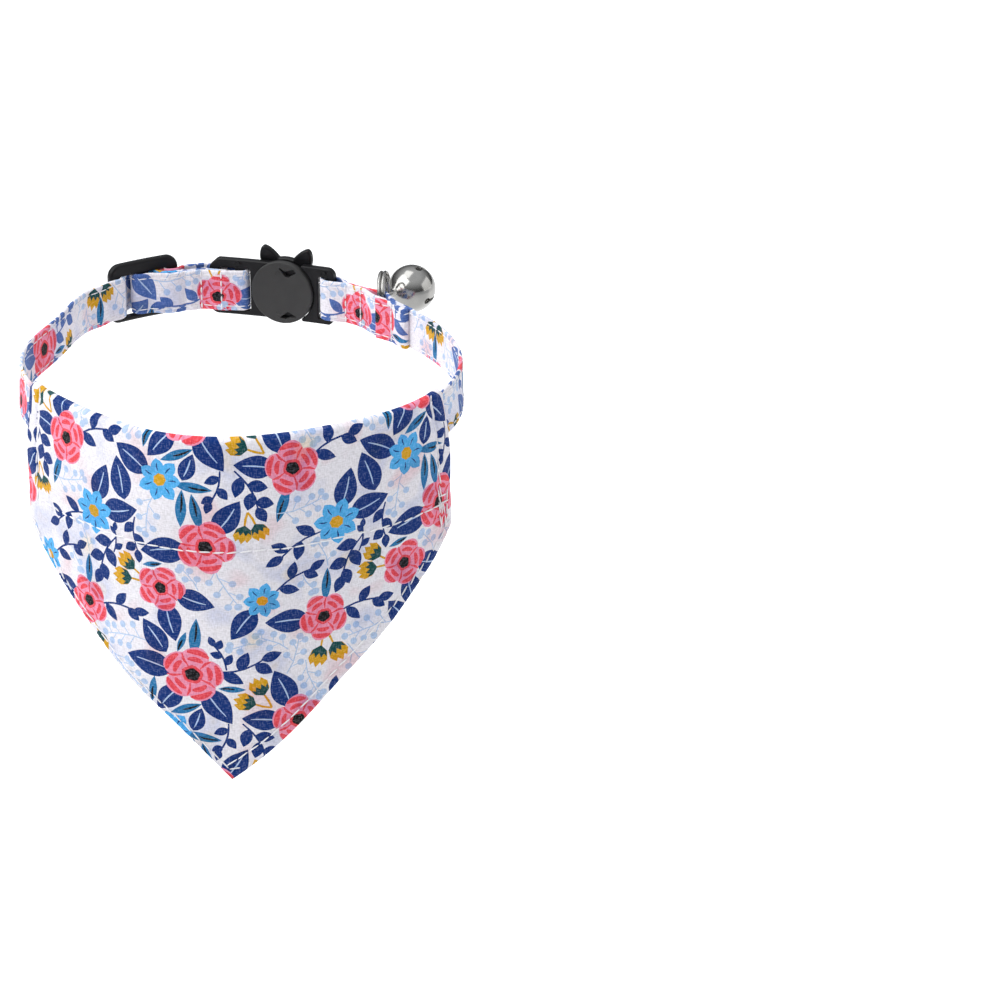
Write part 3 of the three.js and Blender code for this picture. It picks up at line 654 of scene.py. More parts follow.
clothLook = {
    "yarn": 0.3,  # mm between yarns, drawn a little coarser than the real 0.25 so that it shows
    "slub": 1.1,  # mm, how long a thick place in a yarn is
    "weave": (0.62, 1.38),  # least and most of the two noises together
    "fleck": 0.125,  # how much the bare cloth shows between the yarns of the ink
    "fleckFrom": (0.95, 1.35),
    "bare": "dcdbe6",
    "shade": (0.76, 1.09),  # darkest and lightest yarn
    "blotch": 13,  # mm, the back layer's print seen through the front one
    "blotches": [(0.30, "f9dfe0"), (0.43, "ffffff"), (0.54, "ffffff"), (0.64, "e6ebf8"), (0.73, "faf0dd")],
    "relief": (0.35, 0.12),  # strength, and depth in mm
    "finish": {"Roughness": 0.88, "Specular IOR Level": 0.12, "Sheen Weight": 0.08, "Sheen Roughness": 0.5},
}
clothUnit = 10  # mm of flat cloth for 1 on its UV map


def printedCotton():
    # plain-woven printed poplin: dry and matt, its ink broken up by the yarns
    material, tree = newMaterial("printedCottonPoplin")
    flat = addNode(tree, "ShaderNodeUVMap", uv_map="clothMap").outputs["UV"]
    across, along = clothUnit / clothLook["yarn"], clothUnit / clothLook["slub"]
    yarns = []
    for scale in ((across, along, 1), (along, across, 1)):
        place = addNode(tree, "ShaderNodeMapping", {"Vector": flat, "Scale": scale}).outputs["Vector"]
        yarn = addNode(tree, "ShaderNodeTexNoise", {"Vector": place, "Scale": 1.0, "Detail": 1.0})
        yarns.append(yarn.outputs["Fac"])
    weave = addNode(tree, "ShaderNodeMath", {0: yarns[0], 1: yarns[1]}, operation="ADD").outputs[0]
    low, high = clothLook["weave"]
    grain = addNode(tree, "ShaderNodeMapRange",
                    {"Value": weave, "From Min": low, "From Max": high}).outputs["Result"]
    ink = addNode(tree, "ShaderNodeAttribute", attribute_name="print",
                  attribute_type="GEOMETRY").outputs["Color"]
    low, high = clothLook["fleckFrom"]
    bare = addNode(tree, "ShaderNodeMapRange", {"Value": weave, "From Min": low, "From Max": high,
                                                "To Max": clothLook["fleck"]}).outputs["Result"]
    broken = addNode(tree, "ShaderNodeMix", {"Factor": bare, "A": ink, "B": linear(clothLook["bare"])},
                     data_type="RGBA").outputs["Result"]
    dark, light = clothLook["shade"]
    shade = addNode(tree, "ShaderNodeMapRange",
                    {"Value": grain, "To Min": dark, "To Max": light}).outputs["Result"]
    toned = addNode(tree, "ShaderNodeMix", {"Factor": 1.0, "A": broken, "B": shade},
                    data_type="RGBA", blend_type="MULTIPLY").outputs["Result"]
    spread = addNode(tree, "ShaderNodeTexNoise",
                     {"Vector": flat, "Scale": clothUnit / clothLook["blotch"], "Detail": 1.5}).outputs["Fac"]
    ramp = addNode(tree, "ShaderNodeValToRGB", {"Fac": spread})
    while len(ramp.color_ramp.elements) < len(clothLook["blotches"]):
        ramp.color_ramp.elements.new(0.5)
    for stop, (position, tint) in zip(ramp.color_ramp.elements, clothLook["blotches"]):
        stop.position = position
        stop.color = linear(tint)
    through = addNode(tree, "ShaderNodeMix", {"Factor": 1.0, "A": toned, "B": ramp.outputs["Color"]},
                      data_type="RGBA", blend_type="MULTIPLY").outputs["Result"]
    strength, depth = clothLook["relief"]
    raised = addNode(tree, "ShaderNodeBump", {"Height": weave, "Strength": strength, "Distance": depth * mm})
    finishMaterial(tree, {"Base Color": through, "Normal": raised.outputs["Normal"], **clothLook["finish"]})
    return material


def objectNoise(tree, size, detail=2.0):
    # noise on Object coordinates, with blobs of this size in mm
    place = addNode(tree, "ShaderNodeTexCoord").outputs["Object"]
    noise = addNode(tree, "ShaderNodeTexNoise", {"Vector": place, "Scale": 1 / (size * mm), "Detail": detail})
    return noise.outputs["Fac"]


def cottonThread():
    # bright white sewing thread, a little glossier than the cloth
    material, tree = newMaterial("whiteSewingThread")
    ply = objectNoise(tree, 0.25)
    driftingMaterial(tree, {"Roughness": 0.6, "Specular IOR Level": 0.4, "Sheen Weight": 0.2},
                     ply, ("e9e7ec", "ffffff"), None, (ply, 0.5, 0.05))
    return material


def mouldedPlastic():
    # black acetal, satin on its rails, with faint flow marks
    material, tree = newMaterial("blackSatinAcetal")
    flow, grain = objectNoise(tree, 3.5), objectNoise(tree, 0.3, 1.0)
    driftingMaterial(tree, {"IOR": 1.48, "Specular IOR Level": 0.26},
                     flow, ("0d0d0f", "171719"), (flow, 0.32, 0.46), (grain, 0.2, 0.05))
    return material


def erodedPlastic():
    # the same acetal from the spark-eroded face of the mould: matt, greyer, with an even fine grain
    material, tree = newMaterial("blackGrainedAcetal")
    pits, cloud = objectNoise(tree, 0.16), objectNoise(tree, 4)
    driftingMaterial(tree, {"IOR": 1.48}, cloud, ("2a2a2a", "323231"), (pits, 0.5, 0.72), (pits, 0.5, 0.06))
    return material


def nickelPlate():
    # bright nickel on steel: a mirror with a faint haze and fine rubbing marks
    material, tree = newMaterial("brightNickelPlate")
    haze, rub = objectNoise(tree, 2.2), objectNoise(tree, 0.3)
    driftingMaterial(tree, {"Metallic": 1.0}, haze, ("9b9a98", "aeada9"),
                     (haze, 0.12, 0.22), (rub, 0.05, 0.03))
    return material


def plainSteel():
    # an unplated steel ball, duller than the bell round it
    material, tree = newMaterial("plainSteelBall")
    wear = objectNoise(tree, 0.6)
    driftingMaterial(tree, {"Metallic": 1.0}, wear, ("8d8c8a", "a3a2a0"), (wear, 0.25, 0.4))
    return material


def glowingPaper():
    # matt studio paper with a painted glow: it gives off light itself, weak before the collar and strong
    # behind it, so that it is the whitest thing about
    material, tree = newMaterial("glowingStudioPaper")
    place = addNode(tree, "ShaderNodeTexCoord").outputs["Object"]
    behind = addNode(tree, "ShaderNodeSeparateXYZ", {"Vector": place}).outputs["Y"]
    near, far = studio["glowFrom"]
    dim, full = studio["tableGlow"]
    # painted glow: the paper's emission, which rises from before the collar to behind it
    glow = addNode(tree, "ShaderNodeMapRange",
                   {"Value": behind, "From Min": near, "From Max": far, "To Min": dim, "To Max": full},
                   interpolation_type="SMOOTHSTEP").outputs["Result"]
    driftingMaterial(tree, {"Roughness": 0.95, "Specular IOR Level": 0.1, "Emission Color": linear("ffffff"),
                            "Emission Strength": glow}, objectNoise(tree, 40), ("f4f4f4", "fafafa"))
    return material


cotton, thread, plastic, grained = printedCotton(), cottonThread(), mouldedPlastic(), erodedPlastic()
nickel, steel, paper = nickelPlate(), plainSteel(), glowingPaper()
print("materials: made")


# Plastic and metal

def rounded(corners, closest=0.3):
    # an outline with rounded corners, each given as x, y and its radius
    spots = np.array([corner[:2] for corner in corners], float)
    points = []
    for k, (x, y, radius) in enumerate(corners):
        before, after = spots[k - 1] - spots[k], spots[(k + 1) % len(spots)] - spots[k]
        before, after = before / np.linalg.norm(before), after / np.linalg.norm(after)
        half = math.acos(np.clip(before @ after, -1, 1)) / 2
        middle = (before + after) / np.linalg.norm(before + after)
        centre = spots[k] + middle * radius / math.sin(half)
        first, last = (spots[k] + way * radius / math.tan(half) - centre for way in (before, after))
        start = math.atan2(first[1], first[0])
        sweep = math.remainder(math.atan2(last[1], last[0]) - start, 2 * math.pi)
        count = max(2, math.ceil(abs(sweep) * radius / closest))
        angles = start + sweep * np.arange(count + 1) / count
        points += (centre + radius * np.stack([np.cos(angles), np.sin(angles)], -1)).tolist()
    return refined(np.array(points), 0.7)


def circle(radius, middle=(0, 0), count=None):
    angles = np.arange(count or math.ceil(radius * 18) + 12)
    angles = angles / len(angles) * 2 * math.pi
    return np.array(middle) + radius * np.stack([np.cos(angles), np.sin(angles)], -1)


def joined(*parts):
    # parts as points, normals and triangles, in one
    points, normals, triangles, count = [], [], [], 0
    for spots, ways, faces in parts:
        points.append(spots)
        normals.append(ways)
        triangles.append(np.asarray(faces) + count)
        count += len(spots)
    return np.concatenate(points), np.concatenate(normals), np.concatenate(triangles)


def plate(rings, low, high, rounds, fine=4, inner=()):
    # a plate between two heights, from its outline and its holes, each with rounded edges
    parts, rims, count = [], [], 0
    for number, (ring, radius) in enumerate(zip(rings, rounds)):
        ring = anticlockwise(ring) if number == 0 else anticlockwise(ring)[::-1]
        side = np.roll(ring, -1, 0) - ring
        side /= np.linalg.norm(side, axis=1)[:, None]
        right = np.stack([side[:, 1], -side[:, 0]], -1)
        before = np.roll(right, 1, 0)
        away = (right + before) / np.maximum(1 + (right * before).sum(1), 0.5)[:, None]
        unit = away / np.linalg.norm(away, axis=1)[:, None]
        angles = np.linspace(0, math.pi / 2, fine + 1)
        rows = [(a, low + radius * (1 - math.cos(a)), -1) for a in angles]
        rows += [(a, high - radius * (1 - math.cos(a)), 1) for a in angles[::-1]]
        n, here = len(ring), np.arange(len(ring))
        spots = [np.column_stack([ring - away * radius * (1 - math.sin(a)), np.full(n, z)])
                 for a, z, way in rows]
        ways = [np.column_stack([unit * math.sin(a), np.full(n, way * math.cos(a))]) for a, z, way in rows]
        after = (here + 1) % n
        faces = []
        for row in range(len(rows) - 1):
            a, b = row * n, (row + 1) * n
            faces.append(np.stack([a + here, a + after, b + after], -1))
            faces.append(np.stack([a + here, b + after, b + here], -1))
        parts.append((np.concatenate(spots), np.concatenate(ways), np.concatenate(faces)))
        rims.append((spots[0][:, :2], count, count + (len(rows) - 1) * n))
        count += len(rows) * n
    # the two flat faces
    inner = np.asarray(inner, float).reshape(-1, 2)
    flat = np.concatenate([rim for rim, a, b in rims] + [inner])
    loops, start = [], 0
    for rim, a, b in rims:
        order = list(range(start, start + len(rim)))
        loops.append(order[::-1] if loops else order)
        start += len(rim)
    spots, edges, cut, fromPoints, fromEdges, fromFaces = delaunay_2d_cdt(
        [Vector(p) for p in flat], [], loops, 0, 1e-7, True)
    kept = np.array([[fromPoints[v][0] for v in face]
                     for face, sources in zip(cut, fromFaces) if list(sources) == [0]])
    for level, way in ((0, -1), (1, 1)):
        index = np.concatenate([np.arange(len(rim)) + (b if level else a) for rim, a, b in rims]
                               + [count + np.arange(len(inner))])
        faces = index[kept] if way > 0 else index[kept][:, ::-1]
        parts.append((np.column_stack([inner, np.full(len(inner), high if level else low)]),
                      np.tile((0.0, 0.0, way), (len(inner), 1)), faces - count))
        count += len(inner)
    return joined(*parts)


def onArc(plan, part):
    # lays flat work on its arc: x along it, y up, z out
    points, normals, triangles = part
    point, turn = onLoop(plan["at"])
    angle = turn + points[:, 0] / plan["bendRadius"]
    away, ahead = outwards(angle), np.stack([np.cos(angle), np.sin(angle)], -1)
    flat = point - outwards(turn) * plan["bendRadius"] + away * (plan["bendRadius"] + points[:, 2])[:, None]
    ways = ahead * normals[:, :1] + away * normals[:, 2:]
    return np.column_stack([flat, points[:, 1]]), np.column_stack([ways, normals[:, 1]]), triangles


def coil(middle, axis, start, radius, wire, turns=1, pitch=0.0, steps=96, sides=16):
    # round wire in a ring, or in a helix with rounded ends
    axis, start = (np.asarray(v, float) / np.linalg.norm(v) for v in (axis, start))
    third = np.cross(axis, start)
    helix = pitch > 0
    count = steps * turns
    angle = np.arange(count + helix) / steps * 2 * math.pi
    rows = [(a, 1.0, 0.0) for a in angle]
    if helix:
        lean = wire / radius
        cap = np.radians([75, 50, 25])
        rows = [(-lean * math.sin(t), math.cos(t), -1) for t in cap] + rows
        rows += [(angle[-1] + lean * math.sin(t), math.cos(t), 1) for t in cap[::-1]]
    points, normals = [], []
    around = np.arange(sides) / sides * 2 * math.pi
    for a, scale, tip in rows:
        out = start * math.cos(a) + third * math.sin(a)
        ahead = third * math.cos(a) - start * math.sin(a)
        spot = np.asarray(middle) + out * radius + axis * pitch * (a / (2 * math.pi) - turns / 2)
        ring = np.outer(np.cos(around), out) + np.outer(np.sin(around), axis)
        points.append(spot + ring * wire * scale)
        normals.append(ring * scale + ahead * tip * math.sqrt(1 - scale ** 2))
    n, total = sides, len(rows)
    faces = []
    for row in range(total - 1 if helix else total):
        a, b = row * n, (row + 1) % total * n
        for k in range(n):
            m = (k + 1) % n
            faces += [(a + k, b + k, b + m), (a + k, b + m, a + m)]
    if helix:
        faces += [(0, k, k + 1) for k in range(1, n - 1)]
        last = (total - 1) * n
        faces += [(last, last + k + 1, last + k) for k in range(1, n - 1)]
    return np.concatenate(points), np.concatenate(normals), np.array(faces)


def lathe(profile, axes, middle, sides=48):
    # profile as radius and height, from below; axes as side, ahead and up
    profile = np.asarray(profile, float)
    way = np.gradient(profile, axis=0)
    slope = np.stack([way[:, 1], -way[:, 0]], -1)
    slope /= np.linalg.norm(slope, axis=1)[:, None]
    side, ahead, up = axes
    points, normals, faces = [], [], []
    for k in range(sides):
        out = side * math.cos(2 * math.pi * k / sides) + ahead * math.sin(2 * math.pi * k / sides)
        points.append(middle + np.outer(profile[:, 0], out) + np.outer(profile[:, 1], up))
        normals.append(np.outer(slope[:, 0], out) + np.outer(slope[:, 1], up))
    n = len(profile)
    for k in range(sides):
        a, b = k * n, (k + 1) % sides * n
        for row in range(n - 1):
            faces += [(a + row, b + row, b + row + 1), (a + row, b + row + 1, a + row + 1)]
    base, top = sides * n, sides * n + 1
    for k in range(sides):
        a, b = k * n, (k + 1) % sides * n
        faces += [(b, a, base), (a + n - 1, b + n - 1, top)]
    points.append(middle + np.outer(profile[[0, -1], 1], up))
    normals.append(np.outer([-1, 1], up))
    return np.concatenate(points), np.concatenate(normals), np.array(faces)


def hardObject(name, material, node, *parts, second=None, secondParts=()):
    # secondParts are the parts, by number, that have the second material
    points, normals, triangles = joined(*parts)
    normals = normals / np.linalg.norm(normals, axis=1)[:, None]
    piece = addPiece(name, points, normals, triangles, *filter(None, (material, second)))
    if second:
        index = np.concatenate([np.full(len(part[2]), number in secondParts)
                                for number, part in enumerate(parts)])
        piece.data.polygons.foreach_set("material_index", index.astype(np.int32))
    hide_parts(node)
    print(f"{name}: {len(triangles)} triangles, {len(rimsOf(triangles))} open rims")
    return piece


def stud(x, y, face, towards, radius=0.5, tall=0.3):
    # a small moulded stud on a face, in a shallow ring
    edge = face + towards * tall
    low, high = min(edge, face - towards * 0.3), max(edge, face - towards * 0.3)
    return [plate([circle(radius, (x, y), 20)], low, high, [0.14], 3), ejectorMark(x, y, face, radius + 0.32)]


def ejectorMark(x, y, face, radius=0.6, wire=0.08):
    return coil((x, y, face), (0, 0, 1), (1, 0, 0), radius, wire, steps=32, sides=8)


# sizes in mm: along the arc and up the collar, or outwards from the arc
sliderPlan = {
    "at": 196.4,
    "bendRadius": 90,
    "length": 19,
    "height": 15.4,
    "rise": 0.8,
    "plate": (-1, 1),  # inner and outer face
    "endBar": 2.9,
    "middleBar": 2.6,
    "window": (-5.6, 5.35),  # its lower and upper edge
    "corners": (2.4, 3.1, 0.6),  # radius below, above and in the windows
    "edges": (0.75, 0.3),  # rounding of the outline and of the windows
}
bucklePlan = {
    "at": 159.6,
    "bendRadius": 180,
    "height": 14.8,
    "rise": 0.5,
    "radius": 8.15,  # of the discs
    "window": (-5.6, 5.5),
    "windowCorner": 0.5,
    "socketWindows": [(8.7, 10.4), (12.6, 16.8)],
    "socketEnd": 19.3,
    "prongWindow": (-11.7, -9.45),
    "prong": (-13.8, 0.7, 0.38),  # left side, drop of its corners by the disc and their radius
    "prongGap": 0.12,  # between its frame and the disc
    "tongue": (-8.9, -3, 4),
    # inner and outer face of each layer
    "neckPlate": (-1.9, -0.2),
    "core": (-0.6, 2),
    "earedPlate": (1.4, 3.3),
    "frame": (-1, 1),
    "tonguePlate": (-0.4, 0.8),
    "ear": [(2.3, 8.5), (3.2, 9.4), (4.1, 10.1), (5, 10.6), (5.75, 10.75), (6.35, 10.3),
            (6.7, 9.4), (6.85, 8.4), (6.8, 7.4), (6.6, 6.5)],
    "earFeet": (77, 38),  # degrees, inner and outer
    "catchHoles": [
        [(0.9, 6.8), (-1.1, 5.8), (-3.3, 6.6), (-4.0, 5.6), (-1.9, 4.3), (-1.1, 4.4)],
        [(0.6, -6.6), (-1.5, -4.9), (-2.6, -5.4), (-3.9, -6.2), (-2.2, -6.3), (-0.8, -6.9)],
    ],
}
places = {  # what the strap's way is laid on
    "loop": placeOnLoop,
    "slider": arcAt(sliderPlan["at"], sliderPlan["bendRadius"]),
    "buckle": arcAt(bucklePlan["at"], bucklePlan["bendRadius"]),
}


def window(x0, x1, y0, y1, radius):
    return rounded([(x0, y0, radius), (x1, y0, radius), (x1, y1, radius), (x0, y1, radius)])


def makeSlider():
    plan = sliderPlan
    x, low, high = plan["length"] / 2, plan["rise"] - plan["height"] / 2, plan["rise"] + plan["height"] / 2
    below, above, inWindow = plan["corners"]
    outline = rounded([(-x, low, below), (x, low, below), (x, high, above), (-x, high, above)])
    bar, end = plan["middleBar"] / 2, x - plan["endBar"]
    windows = [window(start, stop, *plan["window"], inWindow) for start, stop in ((bar, end), (-end, -bar))]
    outer, inner = plan["edges"]
    body = plate([outline, *windows], *plan["plate"], [outer, inner, inner])
    return hardObject("threeBarSlider", plastic, "slider", onArc(plan, body))


def earedOutline():
    inner, outer = (math.radians(angle) for angle in bucklePlan["earFeet"])
    radius = bucklePlan["radius"]
    ear = smoothRun([(radius * math.cos(inner), radius * math.sin(inner)), *bucklePlan["ear"],
                     (radius * math.cos(outer), radius * math.sin(outer))], 4)
    below = np.linspace(outer, math.pi - outer - 2 * math.pi, 90)[1:-1]
    bottom = radius * np.stack([np.cos(below), np.sin(below)], -1)
    above = np.linspace(math.pi - inner, inner, 12)[1:-1]
    top = radius * np.stack([np.cos(above), np.sin(above)], -1)
    left = (ear * (-1, 1))[::-1]
    return np.concatenate([ear, bottom, left, top]) + (0, bucklePlan["rise"])


def makeSocket():
    plan = bucklePlan
    rise = plan["rise"]
    low, high = rise - plan["height"] / 2, rise + plan["height"] / 2
    disc = circle(plan["radius"], (0, rise))
    holes = [np.array(points) + (0, rise) for points in plan["catchHoles"]]
    holes = [rounded([(x, y, 0.08) for x, y in anticlockwise(points)], 0.05) for points in holes]
    end = plan["socketEnd"]
    outline = rounded([(0, low, 0.6), (end, low, 2.2), (end, high - 2, 1.2), (end - 2.2, high, 1.4),
                       (0, high, 0.6)])
    windows = [window(x0, x1, *plan["window"], plan["windowCorner"]) for x0, x1 in plan["socketWindows"]]
    parts = [
        plate([disc, *holes], *plan["neckPlate"], [0.35] + [0.07] * len(holes)),
        plate([circle(plan["radius"] - 0.7, (0, rise))], *plan["core"], [0.1], 2),
        plate([earedOutline()], *plan["earedPlate"], [0.6]),
        plate([outline, *windows], *plan["frame"], [0.5, 0.35, 0.35]),
        ejectorMark(1, -4.7, plan["neckPlate"][0]), ejectorMark(1.1, 5.6, plan["neckPlate"][0]),
        *stud(11.6, 6.75, plan["frame"][0], -1),
    ]
    return hardObject("buckleSocket", plastic, "buckle_socket", *(onArc(plan, part) for part in parts),
                      second=grained, secondParts=(0, 4, 5))


def makeProng():
    plan = bucklePlan
    rise = plan["rise"]
    low, high = rise - plan["height"] / 2, rise + plan["height"] / 2
    left, blunt, corner = plan["prong"]
    reach = plan["radius"] + plan["prongGap"]  # its right side follows the disc
    steepest = math.asin((plan["height"] / 2 - blunt) / reach)
    side = [(-reach * math.cos(a), rise + reach * math.sin(a), corner)
            for a in np.linspace(-steepest, steepest, 19)]
    outline = rounded([(left + 1.3, low, 0.9), (side[0][0], low, corner), *side, (side[-1][0], high, corner),
                       (left, high, 2), (left, low + 1.5, 0.9)])
    opening = window(*plan["prongWindow"], *plan["window"], plan["windowCorner"])
    inner, outer, half = plan["tongue"]
    tongue = rounded([(inner, rise - half, 0.3), (outer, rise - half, 0.8), (outer, rise + half, 0.8),
                      (inner, rise + half, 0.3)])
    parts = [
        plate([outline, opening], *plan["frame"], [0.7 * corner, 0.35]),
        plate([tongue], *plan["tonguePlate"], [0.15], 2),
        *stud(-11.3, 6.75, plan["frame"][0], -1),
    ]
    return hardObject("buckleProng", plastic, "buckle_prong", *(onArc(plan, part) for part in parts))


ringPlan = {  # in mm; the third place that it passes is in the strap
    "top": (31.9, 44.8, 8.5),
    "far": (33.3, 49.2, 1.4),  # where the bell hangs
    "wire": 0.48,
    "pitch": 0.98,
    "turns": 2,
}
bellPlan = {  # in mm and degrees from the pole where the slots cross
    "hang": (-0.722, -0.688, 0.075),  # the way from the bell to the ring
    "radius": 6,
    "wall": 0.45,
    "slot": 0.45,  # half its width
    "slotReach": 88,
    "slotStart": 1.1,
    "slotTurn": 52,  # about its hanging line
    "hole": 0.85,  # radius of the round end of a slot
    "rims": (0.05, 0.16),  # rounding of the sheet's edges, at the top and along the slots
    "top": 168,  # where the cap on its top begins
    "mesh": 0.42,
    "cap": [(2.3, 5.5), (2.1, 5.66), (1.75, 5.8), (1.4, 6), (1.2, 6.25), (1.1, 6.5), (0.9, 6.68),
            (0.4, 6.75)],  # radius, height
    "bail": (2.3, 0.55),  # wire loop on its top: radius, wire
    "bailAt": 8.1,
}


def ringCircle():
    # the circle through three places: its middle, its axis and the place in the strap
    held = np.array([*placeOnLoop(ringHeld["at"], ringHeld["out"]), ringHeld["rise"]])
    up, over = np.array(ringPlan["top"]) - held, np.array(ringPlan["far"]) - held
    axis = np.cross(up, over)
    toMiddle = np.cross(axis, up) * (over @ over) + np.cross(over, axis) * (up @ up)
    return held + toMiddle / (2 * axis @ axis), axis / np.linalg.norm(axis), held


def makeRing():
    middle, axis, held = ringCircle()
    start = held - middle
    sizes = (np.linalg.norm(start), ringPlan["wire"], ringPlan["turns"], ringPlan["pitch"])
    return hardObject("jumpRing", nickel, "bell_ring", coil(middle, axis, start, *sizes))


def bellShell():
    # cut flat like a peeled orange, from the pole with the slots, then laid on the ball
    radius, half = bellPlan["radius"], bellPlan["slot"]
    reach = radius * math.radians(bellPlan["slotReach"])
    hole, rim = bellPlan["hole"], radius * math.radians(bellPlan["top"])
    swing = math.pi - math.asin(half / hole)
    angles = np.linspace(-swing, swing, 19)
    run = np.linspace(bellPlan["slotStart"], reach + hole * math.cos(swing), 16)[:-1]
    cross = []
    for arm in range(4):
        turn = arm * math.pi / 2 + math.radians(bellPlan["slotTurn"])
        steps = [(x, -half) for x in run]
        steps += [(reach + hole * math.cos(a), hole * math.sin(a)) for a in angles]
        steps += [(x, half) for x in run[::-1]]
        cross += [(x, turn + off / (radius * math.sin(x / radius))) for x, off in steps]
        cross.append((half * math.sqrt(2), turn + math.pi / 4))
    cross = np.array([(x * math.cos(a), x * math.sin(a)) for x, a in cross])
    spots, mesh = [], bellPlan["mesh"]
    for far in np.arange(0.3, rim - 0.3, mesh):
        count = max(6, round(2 * math.pi * radius * math.sin(far / radius) / mesh))
        angles = np.arange(count) / count * 2 * math.pi + far
        spots += (far * np.stack([np.cos(angles), np.sin(angles)], -1)).tolist()
    rings = [circle(rim, count=150), cross]
    points, normals, triangles = plate(rings, -bellPlan["wall"], 0, bellPlan["rims"], 3, spots)
    far = np.hypot(points[:, 0], points[:, 1]) + finest
    c, s, tilt = points[:, 0] / far, points[:, 1] / far, far / radius
    out = np.stack([np.sin(tilt) * c, np.sin(tilt) * s, -np.cos(tilt)], -1)
    down = np.stack([np.cos(tilt) * c, np.cos(tilt) * s, np.sin(tilt)], -1)
    side = np.stack([-s, c, 0 * c], -1)
    ways = down * (normals[:, 0] * c + normals[:, 1] * s)[:, None]
    ways += side * (normals[:, 1] * c - normals[:, 0] * s)[:, None] + out * normals[:, 2:]
    return tidied(out * (radius + points[:, 2])[:, None], ways, triangles[:, ::-1])


def makeBell():
    middle, axis, held = ringCircle()
    up = np.array(bellPlan["hang"]) / np.linalg.norm(bellPlan["hang"])
    far = np.array(ringPlan["far"])
    side = np.cross(np.cross(far - middle, axis), up)
    side /= np.linalg.norm(side)
    axes = np.array([side, np.cross(up, side), up])
    centre = far - up * bellPlan["bailAt"]
    points, normals, triangles = bellShell()
    shell = (centre + points @ axes, normals @ axes, triangles)
    bail = coil(far, axes[1], -up, *bellPlan["bail"], steps=72)
    return hardObject("sleighBell", nickel, "bell_shell", shell, lathe(bellPlan["cap"], axes, centre), bail)


# Strap

strapPlan = {
    "width": 10.6,
    "thickness": 0.95,
    "edge": 0.42,  # radius of its folded edges
    "lean": 8,  # degrees, bottom edge outwards, where the bandana holds it
    "leanRunOut": 26,
    "seamIn": 1.25,  # top stitching, from each edge
    "seamDip": (0.1, 0.5),  # how deep the thread draws the cloth in on each face, and how wide
    "crossDip": (0.16, 0.55),
    "endRound": 0.3,
    "waver": 0.06,  # of its edges
    "main": (0, 6),  # where the print lies on the strap and on its tail
    "tail": (31, 40),
}
barTurn = 1.8  # the strap's middle, from the middle of a bar that it goes round
# the ring sits in a gap between the layers: along the loop, out from it, up, and half the gap
ringHeld = {"at": 131, "out": 0.1, "rise": 4.3, "room": 1.75}


def turnBack(on, at, towards, start, radius):
    # half a turn round a bar; start is the side that it comes from
    angles = [math.radians(angle) for angle in (-90, -45, 0, 45, 90)]
    return [(on, at + towards * radius * math.cos(a), -start * radius * math.sin(a)) for a in angles]


def plainRun(start=114, end=221 - 336, step=6):
    count = round((start - end) / step)
    return [("loop", start + (end - start) * k / count, 0) for k in range(count + 1)]


# the strap's way, in mm: what it is laid on, how far along, how far out
mainRoute = [
    ("loop", 129.2, -2.5), ("loop", 126.5, -1.8), ("loop", 124, -1.2), ("loop", 121.5, -1.5),
    ("loop", 119.8, -1.75), ("loop", 118.8, -1.65), ("loop", 118.4, -1.15), ("loop", 118.8, -0.65),
    ("loop", 119.8, -0.52), ("loop", 124, -0.6), ("loop", 127, -1.05),
    ("loop", ringHeld["at"], ringHeld["out"] - ringHeld["room"]),
    ("loop", 134, -1.15), ("loop", 136.5, -0.75), ("loop", 141.8, -0.75), ("buckle", -13.8, -barTurn),
    *turnBack("buckle", -12.1, 1, -1, barTurn),
    ("buckle", -13.8, barTurn), ("loop", 143.8, 0.9), ("loop", 141.8, -0.15), ("loop", 136.5, -0.15),
    ("loop", 134, 0.7), ("loop", ringHeld["at"], ringHeld["out"] + ringHeld["room"]),
    ("loop", 127.5, 0.8), ("loop", 124, 0), ("loop", 119, 0.1),
    *plainRun(),
    ("loop", 215, -0.3), ("loop", 210.5, -1.2), ("slider", 10.2, -1.95), ("slider", 8.4, -1.95),
    ("slider", 7.2, -1.85), ("slider", 6, -1.1), ("slider", 5.2, 0), ("slider", 4.6, 1.1),
    ("slider", 3.8, 2.2), ("slider", 2.6, 3), ("slider", 1, 3.35), ("slider", -1, 3.3),
    ("slider", -2.8, 2.6), ("slider", -4.2, 1.2), ("slider", -5.2, -0.2), ("slider", -6.1, -1.3),
    ("slider", -7.3, -1.9), ("slider", -8.8, -1.95), ("slider", -10.6, -0.9), ("loop", 183.6, 1.1),
    ("buckle", 21.4, 1.9), ("buckle", 19.2, barTurn),
    *turnBack("buckle", 11.35, -1, 1, barTurn),
    ("buckle", 13.6, -2.15), ("buckle", 15.4, -2.75), ("buckle", 20.9, -2.8), ("loop", 184.2, -3.7),
    ("slider", -10, -4.7), ("slider", -7.8, -4.9), ("slider", -5.6, -4.6), ("slider", -3.8, -3.8),
    ("slider", -2.2, -2.65), ("slider", -0.8, -1.95),
    *turnBack("slider", 0.8, 1, -1, barTurn),
]
tailRoute = [
    ("slider", 0.8, barTurn), ("slider", -0.9, 1.9), ("slider", -2.1, 1.4), ("slider", -2.9, 0.3),
    ("slider", -3.6, -1), ("slider", -4.5, -2.3), ("slider", -5.8, -3.1), ("slider", -7.4, -3.35),
    ("slider", -9, -3.35), ("loop", 184.2, -2.6), ("buckle", 20.9, -1.95), ("buckle", 14.6, -1.9),
]


def leanAt(along):
    total = loop["total"]
    fromMiddle = np.abs(np.mod(along - bandanaPlan["middle"] + 1.5 * total, total) - total / 2)
    past = (fromMiddle - bandanaPlan["width"] / 2) / strapPlan["leanRunOut"]
    return math.radians(strapPlan["lean"]) * (1 - smoothStep(past, 0, 1))


